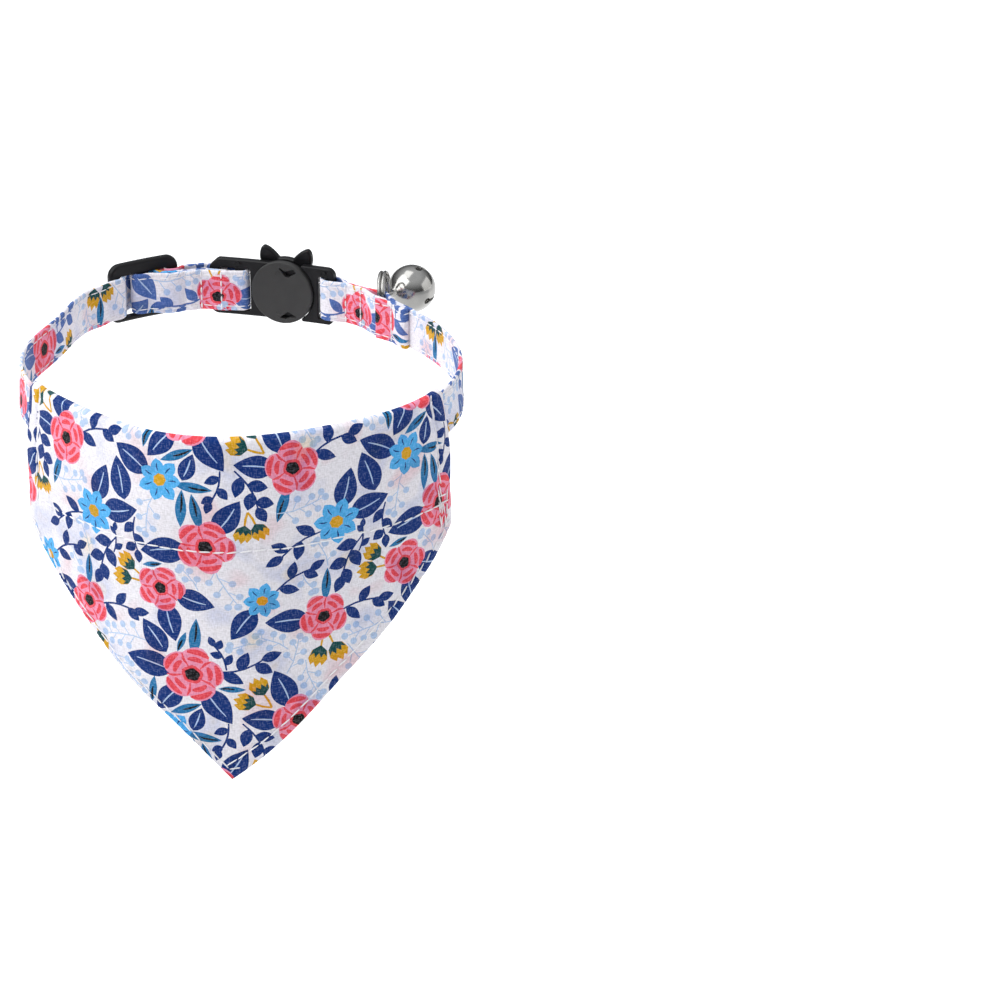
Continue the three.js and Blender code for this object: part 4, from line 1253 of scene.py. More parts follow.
def strapSection():
    # round the strap from the middle of its lower edge: inner face, upper edge, outer face
    wide, half, edge = strapPlan["width"] / 2, strapPlan["thickness"] / 2, strapPlan["edge"]
    points = [(0, -wide)]
    for centreOut, centreUp, start in ((-1, -1, 270), (-1, 1, 180), (1, 1, 90), (1, -1, 0)):
        for angle in range(start, start - 91, -10):
            points.append((centreOut * (half - edge) + edge * math.cos(math.radians(angle)),
                           centreUp * (wide - edge) + edge * math.sin(math.radians(angle))))
    points.append((0, -wide))
    points = np.array(points)
    marks = np.concatenate([[0], np.cumsum(np.linalg.norm(np.diff(points, axis=0), axis=1))])
    return points, marks


class Ribbon:
    # a strap along a route: flat places (along, round) laid out in space

    def __init__(self, route):
        anchors = [places[on](at, out) for on, at, out in route]
        leans = np.array([leanAt(at) if on == "loop" else 0 for on, at, out in route])
        self.run = smoothRun(anchors)
        steps = np.linalg.norm(np.diff(self.run, axis=0), axis=1)
        self.marks = np.concatenate([[0], np.cumsum(steps)])
        self.length = self.marks[-1]
        self.leans = np.interp(np.linspace(0, len(route) - 1, len(self.run)), np.arange(len(route)), leans)
        way = np.gradient(self.run, self.marks, axis=0)
        self.turns = np.unwrap(np.arctan2(way[:, 1], way[:, 0]))
        self.section, self.sectionMarks = strapSection()
        self.girth = self.sectionMarks[-1]
        self.seams = []  # cross rows of stitching, as distances along

    def at(self, along):
        along = np.clip(along, 0, self.length)
        x, y, turn, lean = (np.interp(along, self.marks, values)
                            for values in (self.run[:, 0], self.run[:, 1], self.turns, self.leans))
        return np.stack([x, y], -1), turn, lean

    def place(self, flat):
        along, around = flat.T
        point, turn, lean = self.at(along)
        around = np.mod(around, self.girth)
        out, up = (np.interp(around, self.sectionMarks, self.section[:, k]) for k in (0, 1))
        fromEdge = strapPlan["width"] / 2 - np.abs(up)
        depth, wide = strapPlan["seamDip"]
        thin = depth * hump(fromEdge - strapPlan["seamIn"], wide)
        depth, wide = strapPlan["crossDip"]
        for seam in self.seams:
            thin = np.maximum(thin, depth * hump(along - seam, wide))
        out = out * (1 - 2 * thin / strapPlan["thickness"])
        ease = np.minimum(np.minimum(along, self.length - along) / strapPlan["endRound"], 1)
        out = out * np.sqrt(np.clip(1 - (1 - np.clip(ease, 0.02, 1)) ** 2, 0, 1))
        up = up + strapPlan["waver"] * strapRipple(along, 0 * along) * np.sign(up)
        away = out * np.cos(lean) - up * np.sin(lean)
        side = np.stack([-np.sin(turn), np.cos(turn)], -1)
        flatPlace = point + side * away[:, None]
        return np.column_stack([flatPlace, up * np.cos(lean) + out * np.sin(lean)])

    def nearest(self, spot):
        # how far along the run is closest to this place, seen from above
        gaps = np.linalg.norm(self.run - spot, axis=1)
        return self.marks[int(np.argmin(gaps))]


strapRipple = softNoise(5, 7)


ribbonMesh = {  # the flat strap's own points, which its print is cut into
    "turn": 0.2,  # radians between rows
    "rows": (0.33, 1.3),  # mm, closest and widest
    "nearSeam": (-0.9, -0.5, -0.25, 0, 0.25, 0.5, 0.9),
    "nearEnd": (0.06, 0.15),
    "face": (0, 0.04, 0.085, 0.13, 0.2, 0.35, 0.5, 0.65, 0.8, 0.87, 0.915, 0.96, 1),  # shares of its width
    "fold": (0.33, 0.67),  # shares of the way round a folded edge
}


def ribbonRows(ribbon):
    # where the rows of points lie along it, close together where it bends
    rows, at = [], 0.0
    bend = np.abs(np.gradient(ribbon.turns, ribbon.marks))
    while at < ribbon.length:
        rows.append(at)
        here = np.interp(at, ribbon.marks, bend)
        at += float(np.clip(ribbonMesh["turn"] / (here + finest), *ribbonMesh["rows"]))
    for seam in ribbon.seams:
        rows += [seam + off for off in ribbonMesh["nearSeam"]]
    rows = sorted(row for row in rows if 0.05 < row < ribbon.length - 0.05)
    return rows + [*ribbonMesh["nearEnd"]] + [ribbon.length - off for off in ribbonMesh["nearEnd"]]


def ribbonColumns(girth):
    # where the points of a row lie round it, from the middle of its lower edge
    face = strapPlan["width"] - 2 * strapPlan["edge"]
    corner = strapPlan["edge"] * math.pi / 2
    flat = strapPlan["thickness"] / 2 - strapPlan["edge"]
    first = flat + corner
    across = [0.0] + [flat + corner * share for share in ribbonMesh["fold"]]
    across += [first + face * share for share in ribbonMesh["face"]]
    across += [first + face + corner * share for share in ribbonMesh["fold"]]
    return across + [girth / 2 + value for value in across]


def makeRibbon(ribbon, shift):
    length, girth = ribbon.length, ribbon.girth
    rows, columns = ribbonRows(ribbon), ribbonColumns(girth)
    grid = [(row, value) for row in rows for value in columns if value > 0]
    ends = [(end, value) for end in (0, length) for value in columns]
    sides = [(row, value) for row in rows for value in (0, girth)]
    outline = np.array([(0, 0), (length, 0), (length, girth), (0, girth)], float)
    parts = [(refined(shape, 1.0), ink) for shape, ink in
             printOver(np.array([0, 0]), np.array([length, girth]), girth, shift)]
    flat, triangles, ink = printedCloth(outline, grid + ends + sides, parts)
    points = ribbon.place(flat)
    normals = surfaceNormals(ribbon.place, flat, 0.12)
    return flat, points, normals, triangles, ink


def capped(points, normals, triangles, corners, ink):
    # closes each open end with a fan
    for ring in rimsOf(triangles):
        middle = points[ring].mean(0)
        points = np.vstack([points, middle])
        normals = np.vstack([normals, normals[ring].mean(0)])
        fan = np.array([(a, b, len(points) - 1) for a, b in zip(ring, ring[1:] + ring[:1])])
        triangles = np.vstack([triangles, fan])
        corners = np.concatenate([corners, np.zeros((len(fan), 3, 2))])
        ink = np.concatenate([ink, np.zeros(len(fan), int)])
    return points, normals, triangles, corners, ink


crossRows = {  # where rows of stitching cross the layers: on the loop, and the layer's way out
    "main": [(180.8, -2.9), (175.3, -2.7), (142, -0.75), (136.8, -0.75), (124, -1.2)],
    "tail": [(180.8, -1.9), (175.3, -1.9)],
}


def makeStrap():
    main, tail = Ribbon(mainRoute), Ribbon(tailRoute)
    made = []
    for ribbon, name in ((main, "main"), (tail, "tail")):
        ribbon.seams = [ribbon.nearest(placeOnLoop(at, out)) for at, out in crossRows[name]]
        flat, points, normals, triangles, ink = makeRibbon(ribbon, strapPlan[name])
        corners = flat[triangles]
        triangles, whole = joinedSeam(flat, triangles, ribbon.girth)
        points, normals, triangles = tidied(points, normals, triangles[whole])
        rims = rimsOf(triangles)
        print(f"strap: {len(rims)} open ends, {[len(ring) for ring in rims][:6]}")
        made.append(capped(points, normals, triangles, corners[whole], ink[whole]))
    count = len(made[0][0])
    points, normals, corners, ink = (np.concatenate([made[0][k], made[1][k]]) for k in (0, 1, 3, 4))
    triangles = np.concatenate([made[0][2], made[1][2] + count])
    piece = clothObject("printedStrap", points, normals, corners, triangles, ink, strapInksPaintedLighter)
    print(f"strap: {main.length:.0f} mm and a tail of {tail.length:.0f} mm, {len(triangles)} triangles")
    return piece, main, tail


# Bandana: two layers of the same cloth, one piece folded at the top, the strap between them

bandanaPlan = {
    # its flat shape, in mm; drops are measured down from the fold
    "middle": 1.5,  # along the loop
    "width": 118,
    "drop": 86.5,
    "side": (35.2, 34.2),  # left and right ends
    "bow": (-20, 7),  # how the lower sides curve
    "slant": 0.755,  # mm from a lower side, for each mm straight above it
    # how it hangs
    "foldAbove": 6.6,  # over the strap's middle
    "panelLean": -1.5,  # degrees, bottom edge outwards
    "tipCurl": 2,
    "folds": [(-34, 17, 1.1), (-12, 13, -0.9), (9, 14, 0.9), (33, 18, -1.0)],  # across, width, depth
    "foldsFrom": (12, 60),  # drops between which they grow
    "foldsGather": 0.35,
    "loose": (3, 16),  # drops between which the cloth comes loose from the strap
    "wave": 0.42,
    "crease": 0.12,
    # its thickness: half of it, from the middle between the two layers
    "sleeveHalf": 1.35,
    "panelHalf": 0.5,
    "stitchedHalf": 0.34,
    "thinnest": 0.12,
    "wall": 0.5,  # one layer
    "sleeveDrop": 12.8,  # where the sleeve begins to close
    "tunnelDrop": 23,
    "hem": (5.5, 6.6),  # mm from the lower sides, where the turned-in edge ends
    "hemHalf": 0.14,
    "rim": 0.45,
    "endTuck": (0.15, 0.3),  # rounding of the two ends: depth, reach
    # stitching
    "stitchDrop": 27,
    "endSeam": 4.7,
    "sideSeam": (2.5, 4.8, 3.2),  # above the lower side: left, right at the tip, right at the end
    "tack": (5.6, 24.2, 8.5),  # a zigzag at the right end: how far in, how far down, how tall
    "seamDip": (0.8, 0.7),  # how much of the layers' thickness goes, and how wide
    "pucker": (0.13, 3.3, 2.1),  # ripples beside it: height, length, reach
    "sleeveHem": 3,  # how far in the strap's own stitches still show
    "print": (-8, 5),  # where the print lies on it
}
waves, creases = softNoise(3, 19), softNoise(8, 6.5)


def sideAt(across):
    across = np.asarray(across, float)
    share = np.minimum(np.abs(across) / (bandanaPlan["width"] / 2), 1)
    end = np.where(across < 0, *bandanaPlan["side"])
    bow = np.where(across < 0, *bandanaPlan["bow"])
    return bandanaPlan["drop"] - (bandanaPlan["drop"] - end) * share + bow * share * (1 - share) ** 2


def hangTable(step=0.1, count=960):
    # its line from the side: how far down the cloth, how far out, how far up
    lean, above = math.radians(strapPlan["lean"]), bandanaPlan["foldAbove"]
    at = (np.arange(count) + 0.5) * step
    eased = smoothStep(at, above + strapPlan["width"] / 2, bandanaPlan["stitchDrop"] + 4)
    curl = bandanaPlan["tipCurl"] * smoothStep(at, 50, bandanaPlan["drop"])
    angle = mix(lean, np.radians(bandanaPlan["panelLean"] - curl), eased)
    out = -above * math.sin(lean) + np.concatenate([[0], np.cumsum(np.sin(angle) * step)])
    up = above * math.cos(lean) - np.concatenate([[0], np.cumsum(np.cos(angle) * step)])
    return np.arange(count + 1) * step, out, up


hang = hangTable()


def stitchLines():
    # rows of stitching on the flat bandana: across, down
    half, drop, step = bandanaPlan["width"] / 2, bandanaPlan["stitchDrop"], 1.5
    left, rightTip, rightEnd = bandanaPlan["sideSeam"]
    lines = {"sleeve": np.array([(x, drop + 0.25 * float(strapRipple(x, 9)))
                                 for x in np.arange(-half + 7, half - 2, step)])}
    for name, way in (("leftEnd", -1), ("rightEnd", 1)):
        x = way * (half - bandanaPlan["endSeam"])
        lines[name] = np.array([(x + 0.2 * float(strapRipple(y, 3 * way)), y)
                                for y in np.arange(1.2, drop + 0.4, step)])
    xs = np.arange(-half + step, 1.4, step)
    lines["leftSide"] = np.stack([xs, sideAt(xs) - left], -1)
    xs = np.arange(half - 2, -0.5, -step)
    lines["rightSide"] = np.stack([xs, sideAt(xs) - mix(rightTip, rightEnd, xs / half)], -1)
    fromEnd, top, tall = bandanaPlan["tack"]
    lines["tack"] = np.array([(half - fromEnd + 0.9 * k, top + tall * (k % 2) + 0.3 * k) for k in range(5)])
    return lines


bandanaSeams = stitchLines()


def offLine(across, down, line):
    # distance to a polyline, and how far along it
    best = np.full(len(across), 1e9)
    along = np.zeros(len(across))
    travelled = 0.0
    for (ax, ay), (bx, by) in zip(line, line[1:]):
        dx, dy = bx - ax, by - ay
        long = math.hypot(dx, dy) + finest
        share = np.clip(((across - ax) * dx + (down - ay) * dy) / long ** 2, 0, 1)
        off = np.hypot(across - ax - share * dx, down - ay - share * dy)
        near = off < best
        best[near], along[near] = off[near], (travelled + share * long)[near]
        travelled += long
    return best, along


def sewn(across, down):
    # how much the stitching draws the layers together, and how the cloth ripples beside it
    height, length, reach = bandanaPlan["pucker"]
    dip, ripple = np.zeros(len(across)), np.zeros(len(across))
    for name, line in bandanaSeams.items():
        if name == "tack":
            continue
        off, along = offLine(across, down, line)
        dip = np.maximum(dip, hump(off, bandanaPlan["seamDip"][1]))
        phase = along * 2 * np.pi / length + 1.4 * strapRipple(along, 5 + 0 * along)
        ripple += height * np.cos(phase) * hump(off, reach)
    return dip, ripple


def bandanaPlace(flat, inside=False):
    # flat places (across, run) laid out in space; run is below 0 on the front layer, above 0 on the back
    plan = bandanaPlan
    across, run = flat.T
    down = np.abs(run)
    front = np.where(run < 0, 1.0, -1.0)
    out, up = (np.interp(down, hang[0], column) for column in hang[1:])
    grow = smoothStep(down, *plan["foldsFrom"])
    for spot, width, depth in plan["folds"]:
        out = out + depth * hump(across - spot * (1 - plan["foldsGather"] * grow), width) * grow
    dip, ripple = sewn(across, down)
    loose = smoothStep(down, *plan["loose"])
    edge = (sideAt(across) - down) * plan["slant"]
    out = out + plan["wave"] * waves(across, down) * loose + ripple * smoothStep(edge, -1, 3)
    tuck, tuckReach = plan["endTuck"]
    tucked = tuck * (1 - smoothStep(plan["width"] / 2 - np.abs(across), 0, tuckReach))
    sleeve = 1 - smoothStep(down, plan["sleeveDrop"], plan["stitchDrop"] - 1)
    if inside:
        full = plan["sleeveHalf"] - plan["wall"]
        half = full * (1 - smoothStep(down, plan["sleeveDrop"], plan["tunnelDrop"]))
        top = np.clip(1 - down / (2 * full), 0, 1)
        half = half * np.sqrt(np.clip(1 - top ** 2, 0.0, 1)) + tucked * sleeve
        up = up - plan["wall"] * (1 - smoothStep(down, 0, 4))
    else:
        full = plan["sleeveHalf"]
        overFold = np.sqrt(np.clip(1 - np.clip(1 - down / full, 0, 1) ** 2, 0, 1))
        half = mix(plan["panelHalf"], full * overFold, sleeve)
        hem = smoothStep(edge, 0, 1) * (1 - smoothStep(edge, *plan["hem"]))
        creased = creases(across + 40 * front, down) * loose * smoothStep(edge, 0, 4)
        half = half + plan["hemHalf"] * hem + plan["crease"] * creased
        half = half - dip * (half - plan["stitchedHalf"]) * plan["seamDip"][0]
        half = np.maximum(half, plan["thinnest"])
        rim = np.clip(edge / plan["rim"], 0.03, 1)
        half = half * np.sqrt(1 - (1 - rim) ** 2) - tucked * smoothStep(edge, 0, 2)
    return np.column_stack([placeOnLoop(plan["middle"] + across, out + front * half), up])


def bridge(ringA, keysA, ringB, keysB):
    # triangles between two runs of points in step with each other
    made, i, j = [], 0, 0
    while i < len(ringA) - 1 or j < len(ringB) - 1:
        if j == len(ringB) - 1 or (i < len(ringA) - 1 and keysA[i + 1] <= keysB[j + 1]):
            made.append((ringA[i], ringA[i + 1], ringB[j]))
            i += 1
        else:
            made.append((ringA[i], ringB[j + 1], ringB[j]))
            j += 1
    return np.array(made)


bandanaMesh = {  # the flat bandana's own points in mm, which its print is cut into
    "body": 1.3,
    "bodyEnd": 1.6,  # above its lower sides
    "fold": 0.65,
    "foldRows": (0.0, 0.12, 0.3, 0.6, 1.0, 1.5, 2.2),
    "nearSeam": (-2.2, -1.3, -0.7, -0.3, 0, 0.3, 0.7, 1.3, 2.2),
    "side": 0.9,
    "sideRows": (0.05, 0.14, 0.28, 0.45, 0.8),
    "end": 1.2,
    "endRows": (0.07, 0.15, 0.25, 0.4),
    "endReach": 33.6,
    "hem": 0.03,  # nothing closer to the outline than this
    "columns": 80,  # of the hollow
    "hollowRows": 16,
    "hollowFold": (-1.2, -0.6, -0.25, 0, 0.25, 0.6, 1.2),
}


def bandanaGrid():
    plan, mesh = bandanaPlan, bandanaMesh
    half = plan["width"] / 2
    spots = []
    for across in np.arange(-half + mesh["body"] / 2, half, mesh["body"]):
        for down in np.arange(mesh["body"] / 2, plan["drop"], mesh["body"]):
            if down < sideAt(across) - mesh["bodyEnd"]:
                spots.append((across, down))
    for across in np.arange(-half, half + 0.01, mesh["fold"]):
        spots += [(across, down) for down in mesh["foldRows"]]
    for name, line in bandanaSeams.items():
        if name == "tack":
            continue
        way = np.gradient(line, axis=0)
        way /= np.linalg.norm(way, axis=1)[:, None]
        side = np.stack([-way[:, 1], way[:, 0]], -1)
        for off in mesh["nearSeam"]:
            for spot, toward, ahead in zip(line, side, way):
                spots += [spot + toward * off, spot + toward * off + ahead * 0.75]
    for across in np.arange(-half, half + 0.01, mesh["side"]):
        spots += [(across, sideAt(across) - off / plan["slant"]) for off in mesh["sideRows"]]
    for end in mesh["endRows"]:
        for down in np.arange(0, mesh["endReach"], mesh["end"]):
            spots += [(-half + end, down), (half - end, down)]
    spots = np.array(spots)
    across, down = spots.T
    inside = (np.abs(across) < half - mesh["hem"]) & (down < sideAt(across) - mesh["hem"]) & (down >= 0)
    spots = spots[inside]
    return np.concatenate([spots, spots[spots[:, 1] > 0] * (1, -1)])


def bandanaFaces():
    # both faces of the folded cloth, cut along the print
    half, reach, step = bandanaPlan["width"] / 2, bandanaMesh["endReach"], bandanaMesh["end"]
    bottom = np.linspace(-half, half, 91)
    front = np.stack([bottom, -sideAt(bottom)], -1)
    back = np.stack([bottom, sideAt(bottom)], -1)[::-1]
    outline = np.concatenate([front, back])
    ends = [(way * half, run) for way in (-1, 1) for run in np.arange(-reach, reach + 0.1, step)]
    motifs = printOver(outline.min(0), outline.max(0), None, bandanaPlan["print"])
    parts = [(refined(shape, bandanaMesh["body"]), ink) for shape, ink in motifs]
    return printedCloth(outline, np.concatenate([bandanaGrid(), ends]), parts, [(-half, 0), (half, 0)])


def hollowPlace(flat):
    return bandanaPlace(flat, True)


def bandanaHollow(base):
    # the hollow that the strap runs in: flat places, triangles, and the number that each point goes by
    half, drop = bandanaPlan["width"] / 2, bandanaPlan["tunnelDrop"]
    side = np.linspace(2, drop, bandanaMesh["hollowRows"])
    rows = np.concatenate([-side[::-1], bandanaMesh["hollowFold"], side])
    columns, tall = bandanaMesh["columns"], len(rows)
    grid = np.array([(x, y) for x in np.linspace(-half, half, columns) for y in rows])
    pairs = [(base + c * tall + r, base + (c + 1) * tall + r)
             for c in range(columns - 1) for r in range(tall - 1)]
    cells = [(near, near + 1, far) for near, far in pairs]
    cells += [(near + 1, far + 1, far) for near, far in pairs]
    lowest = base + np.arange(columns) * tall
    same = np.arange(base + len(grid))
    same[lowest + tall - 1] = lowest  # its two lower edges are one
    mouths = {"left": base + np.arange(tall), "right": base + (columns - 1) * tall + np.arange(tall)}
    return grid, np.array(cells), same, mouths


def bandanaRims(flat, triangles):
    # the open edges of both faces: the two ends from front to back, and the lower sides from left to right
    half = bandanaPlan["width"] / 2
    edge = np.array(sum(rimsOf(triangles), []))
    rims = {}
    for name, way in (("left", -1), ("right", 1)):
        spots = edge[np.abs(flat[edge, 0] - way * half) < oneSpot]
        rims[name] = spots[np.argsort(flat[spots, 1])]
    onSide = edge[np.abs(np.abs(flat[edge, 1]) - sideAt(flat[edge, 0])) < 0.03]
    for name, way in (("front", -1), ("back", 1)):
        spots = onSide[flat[onSide, 1] * way > 0]
        rims[name] = spots[np.argsort(flat[spots, 0])]
    return rims


def makeBandana():
    flat, triangles, ink = bandanaFaces()
    rims = bandanaRims(flat, triangles)
    grid, cells, same, mouths = bandanaHollow(len(flat))
    points = np.concatenate([bandanaPlace(flat), hollowPlace(grid)])
    normals = np.concatenate([surfaceNormals(bandanaPlace, flat), -surfaceNormals(hollowPlace, grid)])
    flat = np.concatenate([flat, grid])
    corners = np.concatenate([flat[triangles], flat[cells]])
    triangles = np.concatenate([triangles, same[cells]])
    ink = np.concatenate([ink, np.zeros(len(cells), int)])
    # strips close the rims, in the colours of the cloth beside them
    strips = [bridge(rims["front"], flat[rims["front"], 0], rims["back"], flat[rims["back"], 0])]
    strips += [bridge(rims[name], flat[rims[name], 1], mouth, flat[mouth, 1])
               for name, mouth in mouths.items()]
    inkBeside = {}
    for number, (a, b, c) in enumerate(triangles.tolist()):
        for side in ((a, b), (b, c), (c, a)):
            inkBeside[side] = ink[number]
    for strip in strips:
        if tuple(strip[0][:2]) in inkBeside or tuple(strip[0][1:]) in inkBeside:
            strip = strip[:, ::-1]
        colour = [next((inkBeside[side] for side in ((b, a), (c, b), (a, c)) if side in inkBeside), 0)
                  for a, b, c in strip.tolist()]
        triangles = np.concatenate([triangles, same[strip]])
        corners = np.concatenate([corners, flat[strip]])
        ink = np.concatenate([ink, np.array(colour, int)])
    points, normals, triangles = tidied(points, normals, triangles)
    left = rimsOf(triangles)
    print(f"bandana: {len(triangles)} triangles, {len(left)} open rims {[len(ring) for ring in left][:6]}")
    points, normals, triangles, corners, ink = capped(points, normals, triangles, corners, ink)
    return clothObject("printedBandana", points, normals, corners, triangles, ink, inks)


# Stitches

# length, pitch and thread radius in mm, wander in radians
stitchPlan = {
    "bandana": {"length": 2.75, "pitch": 3.15, "radius": 0.19, "wander": 0.05, "seed": 3},
    "strapTop": {"length": 2.2, "pitch": 2.8, "radius": 0.13, "wander": 0.03, "seed": 3},
    "strapCross": {"length": 1.5, "pitch": 1.65, "radius": 0.2, "wander": 0.05, "seed": 5},
    "swell": (0.4, 0.35),  # how blunt a stitch is, and how thick at its ends
    "lift": {"bandana": 0.17, "strapTop": 0.12, "strapCross": 0.15},  # mm off the cloth
    "crossReach": 4.13,  # mm, half the length of a row across the strap
}


def stitchTree():
    # dashes of thread along the edges of a mesh of lines
    tree = bpy.data.node_groups.new("sewnDashes", "GeometryNodeTree")
    face = tree.interface
    face.new_socket("Geometry", in_out="INPUT", socket_type="NodeSocketGeometry")
    for name, value in (("Stitch length", 0.0026), ("Stitch pitch", 0.0031), ("Thread radius", 0.00016),
                        ("Wander", 0.08)):
        face.new_socket(name, in_out="INPUT", socket_type="NodeSocketFloat").default_value = value
    face.new_socket("Seed", in_out="INPUT", socket_type="NodeSocketInt").default_value = 3
    face.new_socket("Thread", in_out="INPUT", socket_type="NodeSocketMaterial")
    face.new_socket("Geometry", in_out="OUTPUT", socket_type="NodeSocketGeometry")
    given = addNode(tree, "NodeGroupInput").outputs
    lines = addNode(tree, "GeometryNodeMeshToCurve", {"Mesh": given["Geometry"]}).outputs["Curve"]
    spots = addNode(tree, "GeometryNodeCurveToPoints", {"Curve": lines, "Length": given["Stitch pitch"]},
                    mode="LENGTH")
    half = addNode(tree, "ShaderNodeMath", {0: given["Stitch length"], 1: 0.5},
                   operation="MULTIPLY").outputs[0]
    lower = addNode(tree, "ShaderNodeMath", {0: half, 1: -1.0}, operation="MULTIPLY").outputs[0]
    start = addNode(tree, "ShaderNodeCombineXYZ", {"Z": lower}).outputs["Vector"]
    end = addNode(tree, "ShaderNodeCombineXYZ", {"Z": half}).outputs["Vector"]
    dash = addNode(tree, "GeometryNodeCurvePrimitiveLine", {"Start": start, "End": end}).outputs["Curve"]
    dash = addNode(tree, "GeometryNodeResampleCurve", {"Curve": dash, "Count": 7}).outputs["Curve"]
    blunt, thinnest = stitchPlan["swell"]
    share = addNode(tree, "GeometryNodeSplineParameter").outputs["Factor"]
    swell = addNode(tree, "ShaderNodeMath", {0: share, 1: math.pi}, operation="MULTIPLY").outputs[0]
    swell = addNode(tree, "ShaderNodeMath", {0: swell}, operation="SINE").outputs[0]
    swell = addNode(tree, "ShaderNodeMath", {0: swell, 1: blunt}, operation="POWER").outputs[0]
    width = addNode(tree, "ShaderNodeMapRange",
                    {"Value": swell, "To Min": thinnest, "To Max": 1.0}).outputs["Result"]
    dash = addNode(tree, "GeometryNodeSetCurveRadius", {"Curve": dash, "Radius": width}).outputs["Curve"]
    profile = addNode(tree, "GeometryNodeCurvePrimitiveCircle",
                      {"Resolution": 6, "Radius": given["Thread radius"]})
    body = addNode(tree, "GeometryNodeCurveToMesh", {"Curve": dash, "Profile Curve": profile.outputs["Curve"],
                                                     "Scale": width, "Fill Caps": True}).outputs["Mesh"]
    away = addNode(tree, "ShaderNodeMath", {0: given["Wander"], 1: -1.0}, operation="MULTIPLY").outputs[0]
    lean = addNode(tree, "FunctionNodeRandomValue", {"Seed": given["Seed"]}, data_type="FLOAT")
    tree.links.new(away, lean.inputs[2])
    tree.links.new(given["Wander"], lean.inputs[3])
    tilt = addNode(tree, "ShaderNodeCombineXYZ",
                   {"X": lean.outputs[1], "Y": lean.outputs[1]}).outputs["Vector"]
    tilt = addNode(tree, "FunctionNodeEulerToRotation", {"Euler": tilt}).outputs["Rotation"]
    facing = addNode(tree, "FunctionNodeRotateRotation",
                     {"Rotation": spots.outputs["Rotation"], "Rotate By": tilt},
                     rotation_space="LOCAL").outputs["Rotation"]
    sown = addNode(tree, "GeometryNodeInstanceOnPoints", {"Points": spots.outputs["Points"], "Instance": body,
                                                          "Rotation": facing}).outputs["Instances"]
    real = addNode(tree, "GeometryNodeRealizeInstances", {"Geometry": sown}).outputs["Geometry"]
    smooth = addNode(tree, "GeometryNodeSetShadeSmooth", {"Geometry": real}).outputs["Geometry"]
    dressed = addNode(tree, "GeometryNodeSetMaterial", {"Geometry": smooth, "Material": given["Thread"]})
    addNode(tree, "NodeGroupOutput", {"Geometry": dressed.outputs["Geometry"]})
    return tree


sewnDashes = stitchTree()


def sew(name, lines, length, pitch, radius, wander, seed):
    # lines are runs of points in mm; the result is a plain mesh
    mesh = bpy.data.meshes.new(name + "Lines")
    points, edges = [], []
    for line in lines:
        first = len(points)
        points += (np.asarray(line) * mm).tolist()
        edges += [(first + k, first + k + 1) for k in range(len(line) - 1)]
    mesh.from_pydata(points, edges, [])
    guide = addObject(name + "Lines", mesh)
    modifier = guide.modifiers.new("dashes", "NODES")
    modifier.node_group = sewnDashes
    sockets = {item.name: item.identifier
               for item in sewnDashes.interface.items_tree if item.in_out == "INPUT"}
    given = {"Thread": thread, "Stitch length": length * mm, "Stitch pitch": pitch * mm,
             "Thread radius": radius * mm, "Wander": wander, "Seed": seed}
    for socket, value in given.items():
        modifier[sockets[socket]] = value
    evaluated = guide.evaluated_get(bpy.context.evaluated_depsgraph_get())
    made = bpy.data.meshes.new_from_object(evaluated)
    made.name = name
    bpy.data.objects.remove(guide)
    print(f"{name}: {len(made.polygons)} faces")
    return addObject(name, made)


def lifted(place, flat, height, step=0.05):
    return place(flat) + surfaceNormals(place, flat, step) * height


def closeRun(line, step=0.5):
    # the same line with a point every half millimetre
    marks = np.concatenate([[0], np.cumsum(np.linalg.norm(np.diff(line, axis=0), axis=1))])
    spots = np.arange(0, marks[-1] + step / 2, step)
    return np.stack([np.interp(spots, marks, line[:, k]) for k in (0, 1)], -1)


def sewBandana():
    lines = [lifted(bandanaPlace, closeRun(line) * (1, face), stitchPlan["lift"]["bandana"])
             for line in bandanaSeams.values() for face in (-1, 1)]
    return sew("bandanaStitches", lines, **stitchPlan["bandana"])


def uncovered(points):
    # the runs of them that lie outside the bandana's sleeve
    reach = bandanaPlan["width"] / 2 - bandanaPlan["sleeveHem"]
    left, right = (onLoop(bandanaPlan["middle"] + way * reach)[0] for way in (-1, 1))
    off = points[:, :2] - left
    inside = (right[0] - left[0]) * off[:, 1] < (right[1] - left[1]) * off[:, 0]
    ends = np.flatnonzero(np.diff(inside)) + 1
    return [run for run, within in zip(np.split(points, ends), np.split(inside, ends)) if not within[0]]


def sewStrap(ribbons):
    # two rows of top stitching along both faces, and rows across where the layers are sewn
    half = strapPlan["width"] / 2 - strapPlan["seamIn"]
    reach = stitchPlan["crossReach"]
    lift = stitchPlan["lift"]
    along, across = [], []
    for ribbon in ribbons:
        run = np.arange(0.6, ribbon.length - 0.6, 0.5)
        faces = (ribbon.girth / 4, 3 * ribbon.girth / 4)  # the middle of each
        for middle in faces:
            for way in (-1, 1):
                flat = np.stack([run, np.full(len(run), middle + way * half)], -1)
                along += uncovered(lifted(ribbon.place, flat, lift["strapTop"], 0.12))
        for seam in ribbon.seams:
            for middle in faces:
                around = middle + np.linspace(-reach, reach, 26)
                flat = np.stack([np.full(len(around), seam), around], -1)
                across.append(lifted(ribbon.place, flat, lift["strapCross"], 0.12))
    return (sew("strapTopStitches", along, **stitchPlan["strapTop"]),
            sew("strapCrossStitches", across, **stitchPlan["strapCross"]))


# The pieces, and the solids that they stand for

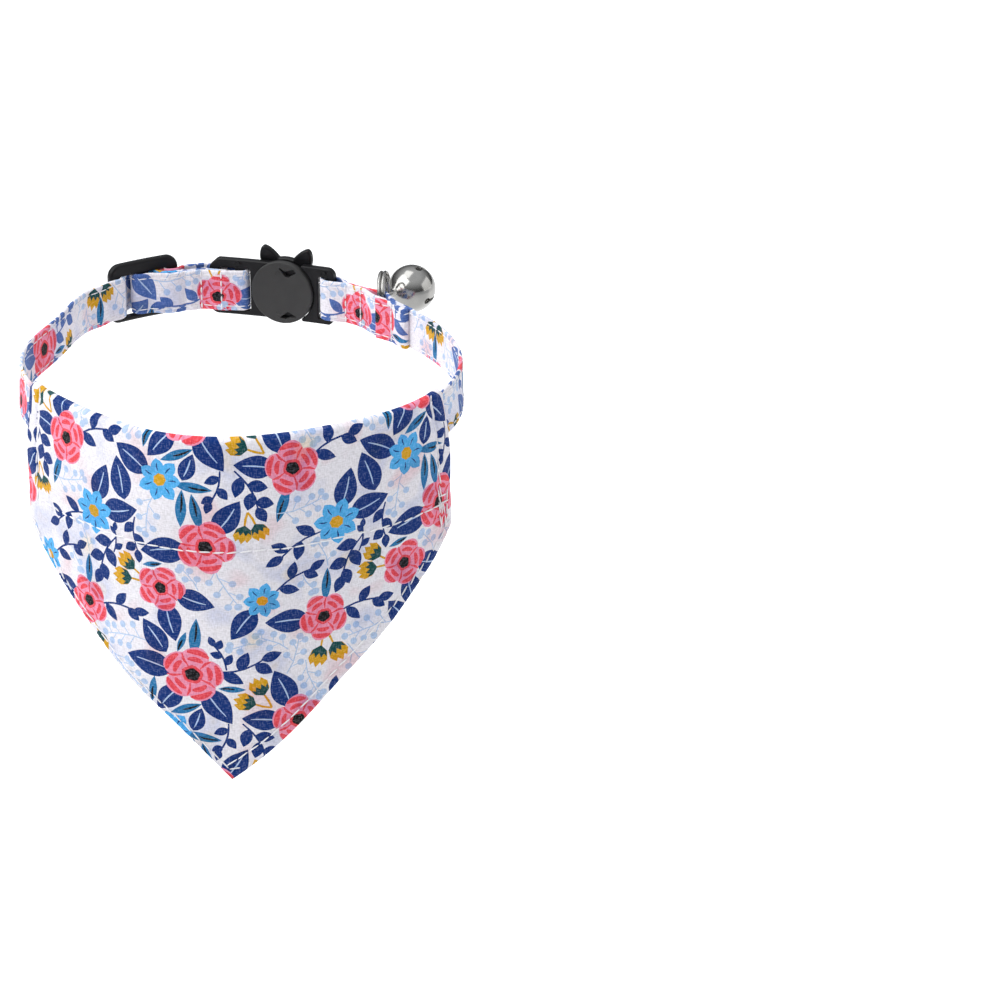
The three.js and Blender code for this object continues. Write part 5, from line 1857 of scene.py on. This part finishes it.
bandana = makeBandana()
strap, *ribbons = makeStrap()
bandanaStitches = sewBandana()
strapStitches, crossStitches = sewStrap(ribbons)
hardware = [makeSlider(), makeSocket(), makeProng(), makeRing(), makeBell()]
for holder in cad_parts["bell_pellet"].material_slots:
    holder.material = steel
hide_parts("bandana")
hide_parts("collar_strap")
pieces = [bandana, strap, bandanaStitches, strapStitches, crossStitches, *hardware]


# Stage, light and camera

def makeStage():
    mesh = bpy.data.meshes.new("studioFloor")
    reach, z = studio["floorReach"], cadLow.z - studio["floorDrop"]
    corners = [(-reach, -reach, z), (reach, -reach, z), (reach, reach, z), (-reach, reach, z)]
    mesh.from_pydata(corners, [], [(0, 1, 2, 3)])
    mesh.materials.append(paper)
    addObject("studioFloor", mesh)
    world = bpy.data.worlds.new("studio")
    world.use_nodes = True
    way = addNode(world.node_tree, "ShaderNodeTexCoord").outputs["Generated"]
    height = addNode(world.node_tree, "ShaderNodeSeparateXYZ", {"Vector": way}).outputs["Z"]
    horizon, overhead = studio["surround"]
    glow = addNode(world.node_tree, "ShaderNodeMapRange",
                   {"Value": height, "To Min": horizon, "To Max": overhead},
                   interpolation_type="SMOOTHSTEP").outputs["Result"]
    background = world.node_tree.nodes["Background"]
    background.inputs["Color"].default_value = linear(studio["surroundTint"])
    world.node_tree.links.new(glow, background.inputs["Strength"])
    bpy.context.scene.world = world


def addLight(name, spot, aim, size, power):
    data = bpy.data.lights.new(name, "AREA")
    data.shape = "RECTANGLE"
    data.size, data.size_y = size
    data.energy = power
    light = addObject(name, data)
    light.location = spot
    light.rotation_euler = (aim - spot).to_track_quat("-Z", "Y").to_euler()


def makeCamera():
    data = bpy.data.cameras.new("camera")
    data.lens = studio["lens"]
    data.sensor_width = studio["sensor"]
    data.clip_start, data.clip_end = studio["clip"]
    camera = addObject("camera", data)
    camera.location = studio["camera"]
    camera.rotation_euler = (math.radians(90 - studio["tilt"]), 0, 0)
    bpy.context.scene.camera = camera


makeStage()
middle = (cadLow + cadHigh) / 2
for name, (way, distance, size, power) in studio["lights"].items():
    addLight(name, middle + Vector(way).normalized() * distance, middle, size, power)
makeCamera()
bpy.context.scene.view_settings.view_transform = "Standard"
print("stage: floor, surround, lights and camera")

for piece in pieces:
    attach(piece, "root")
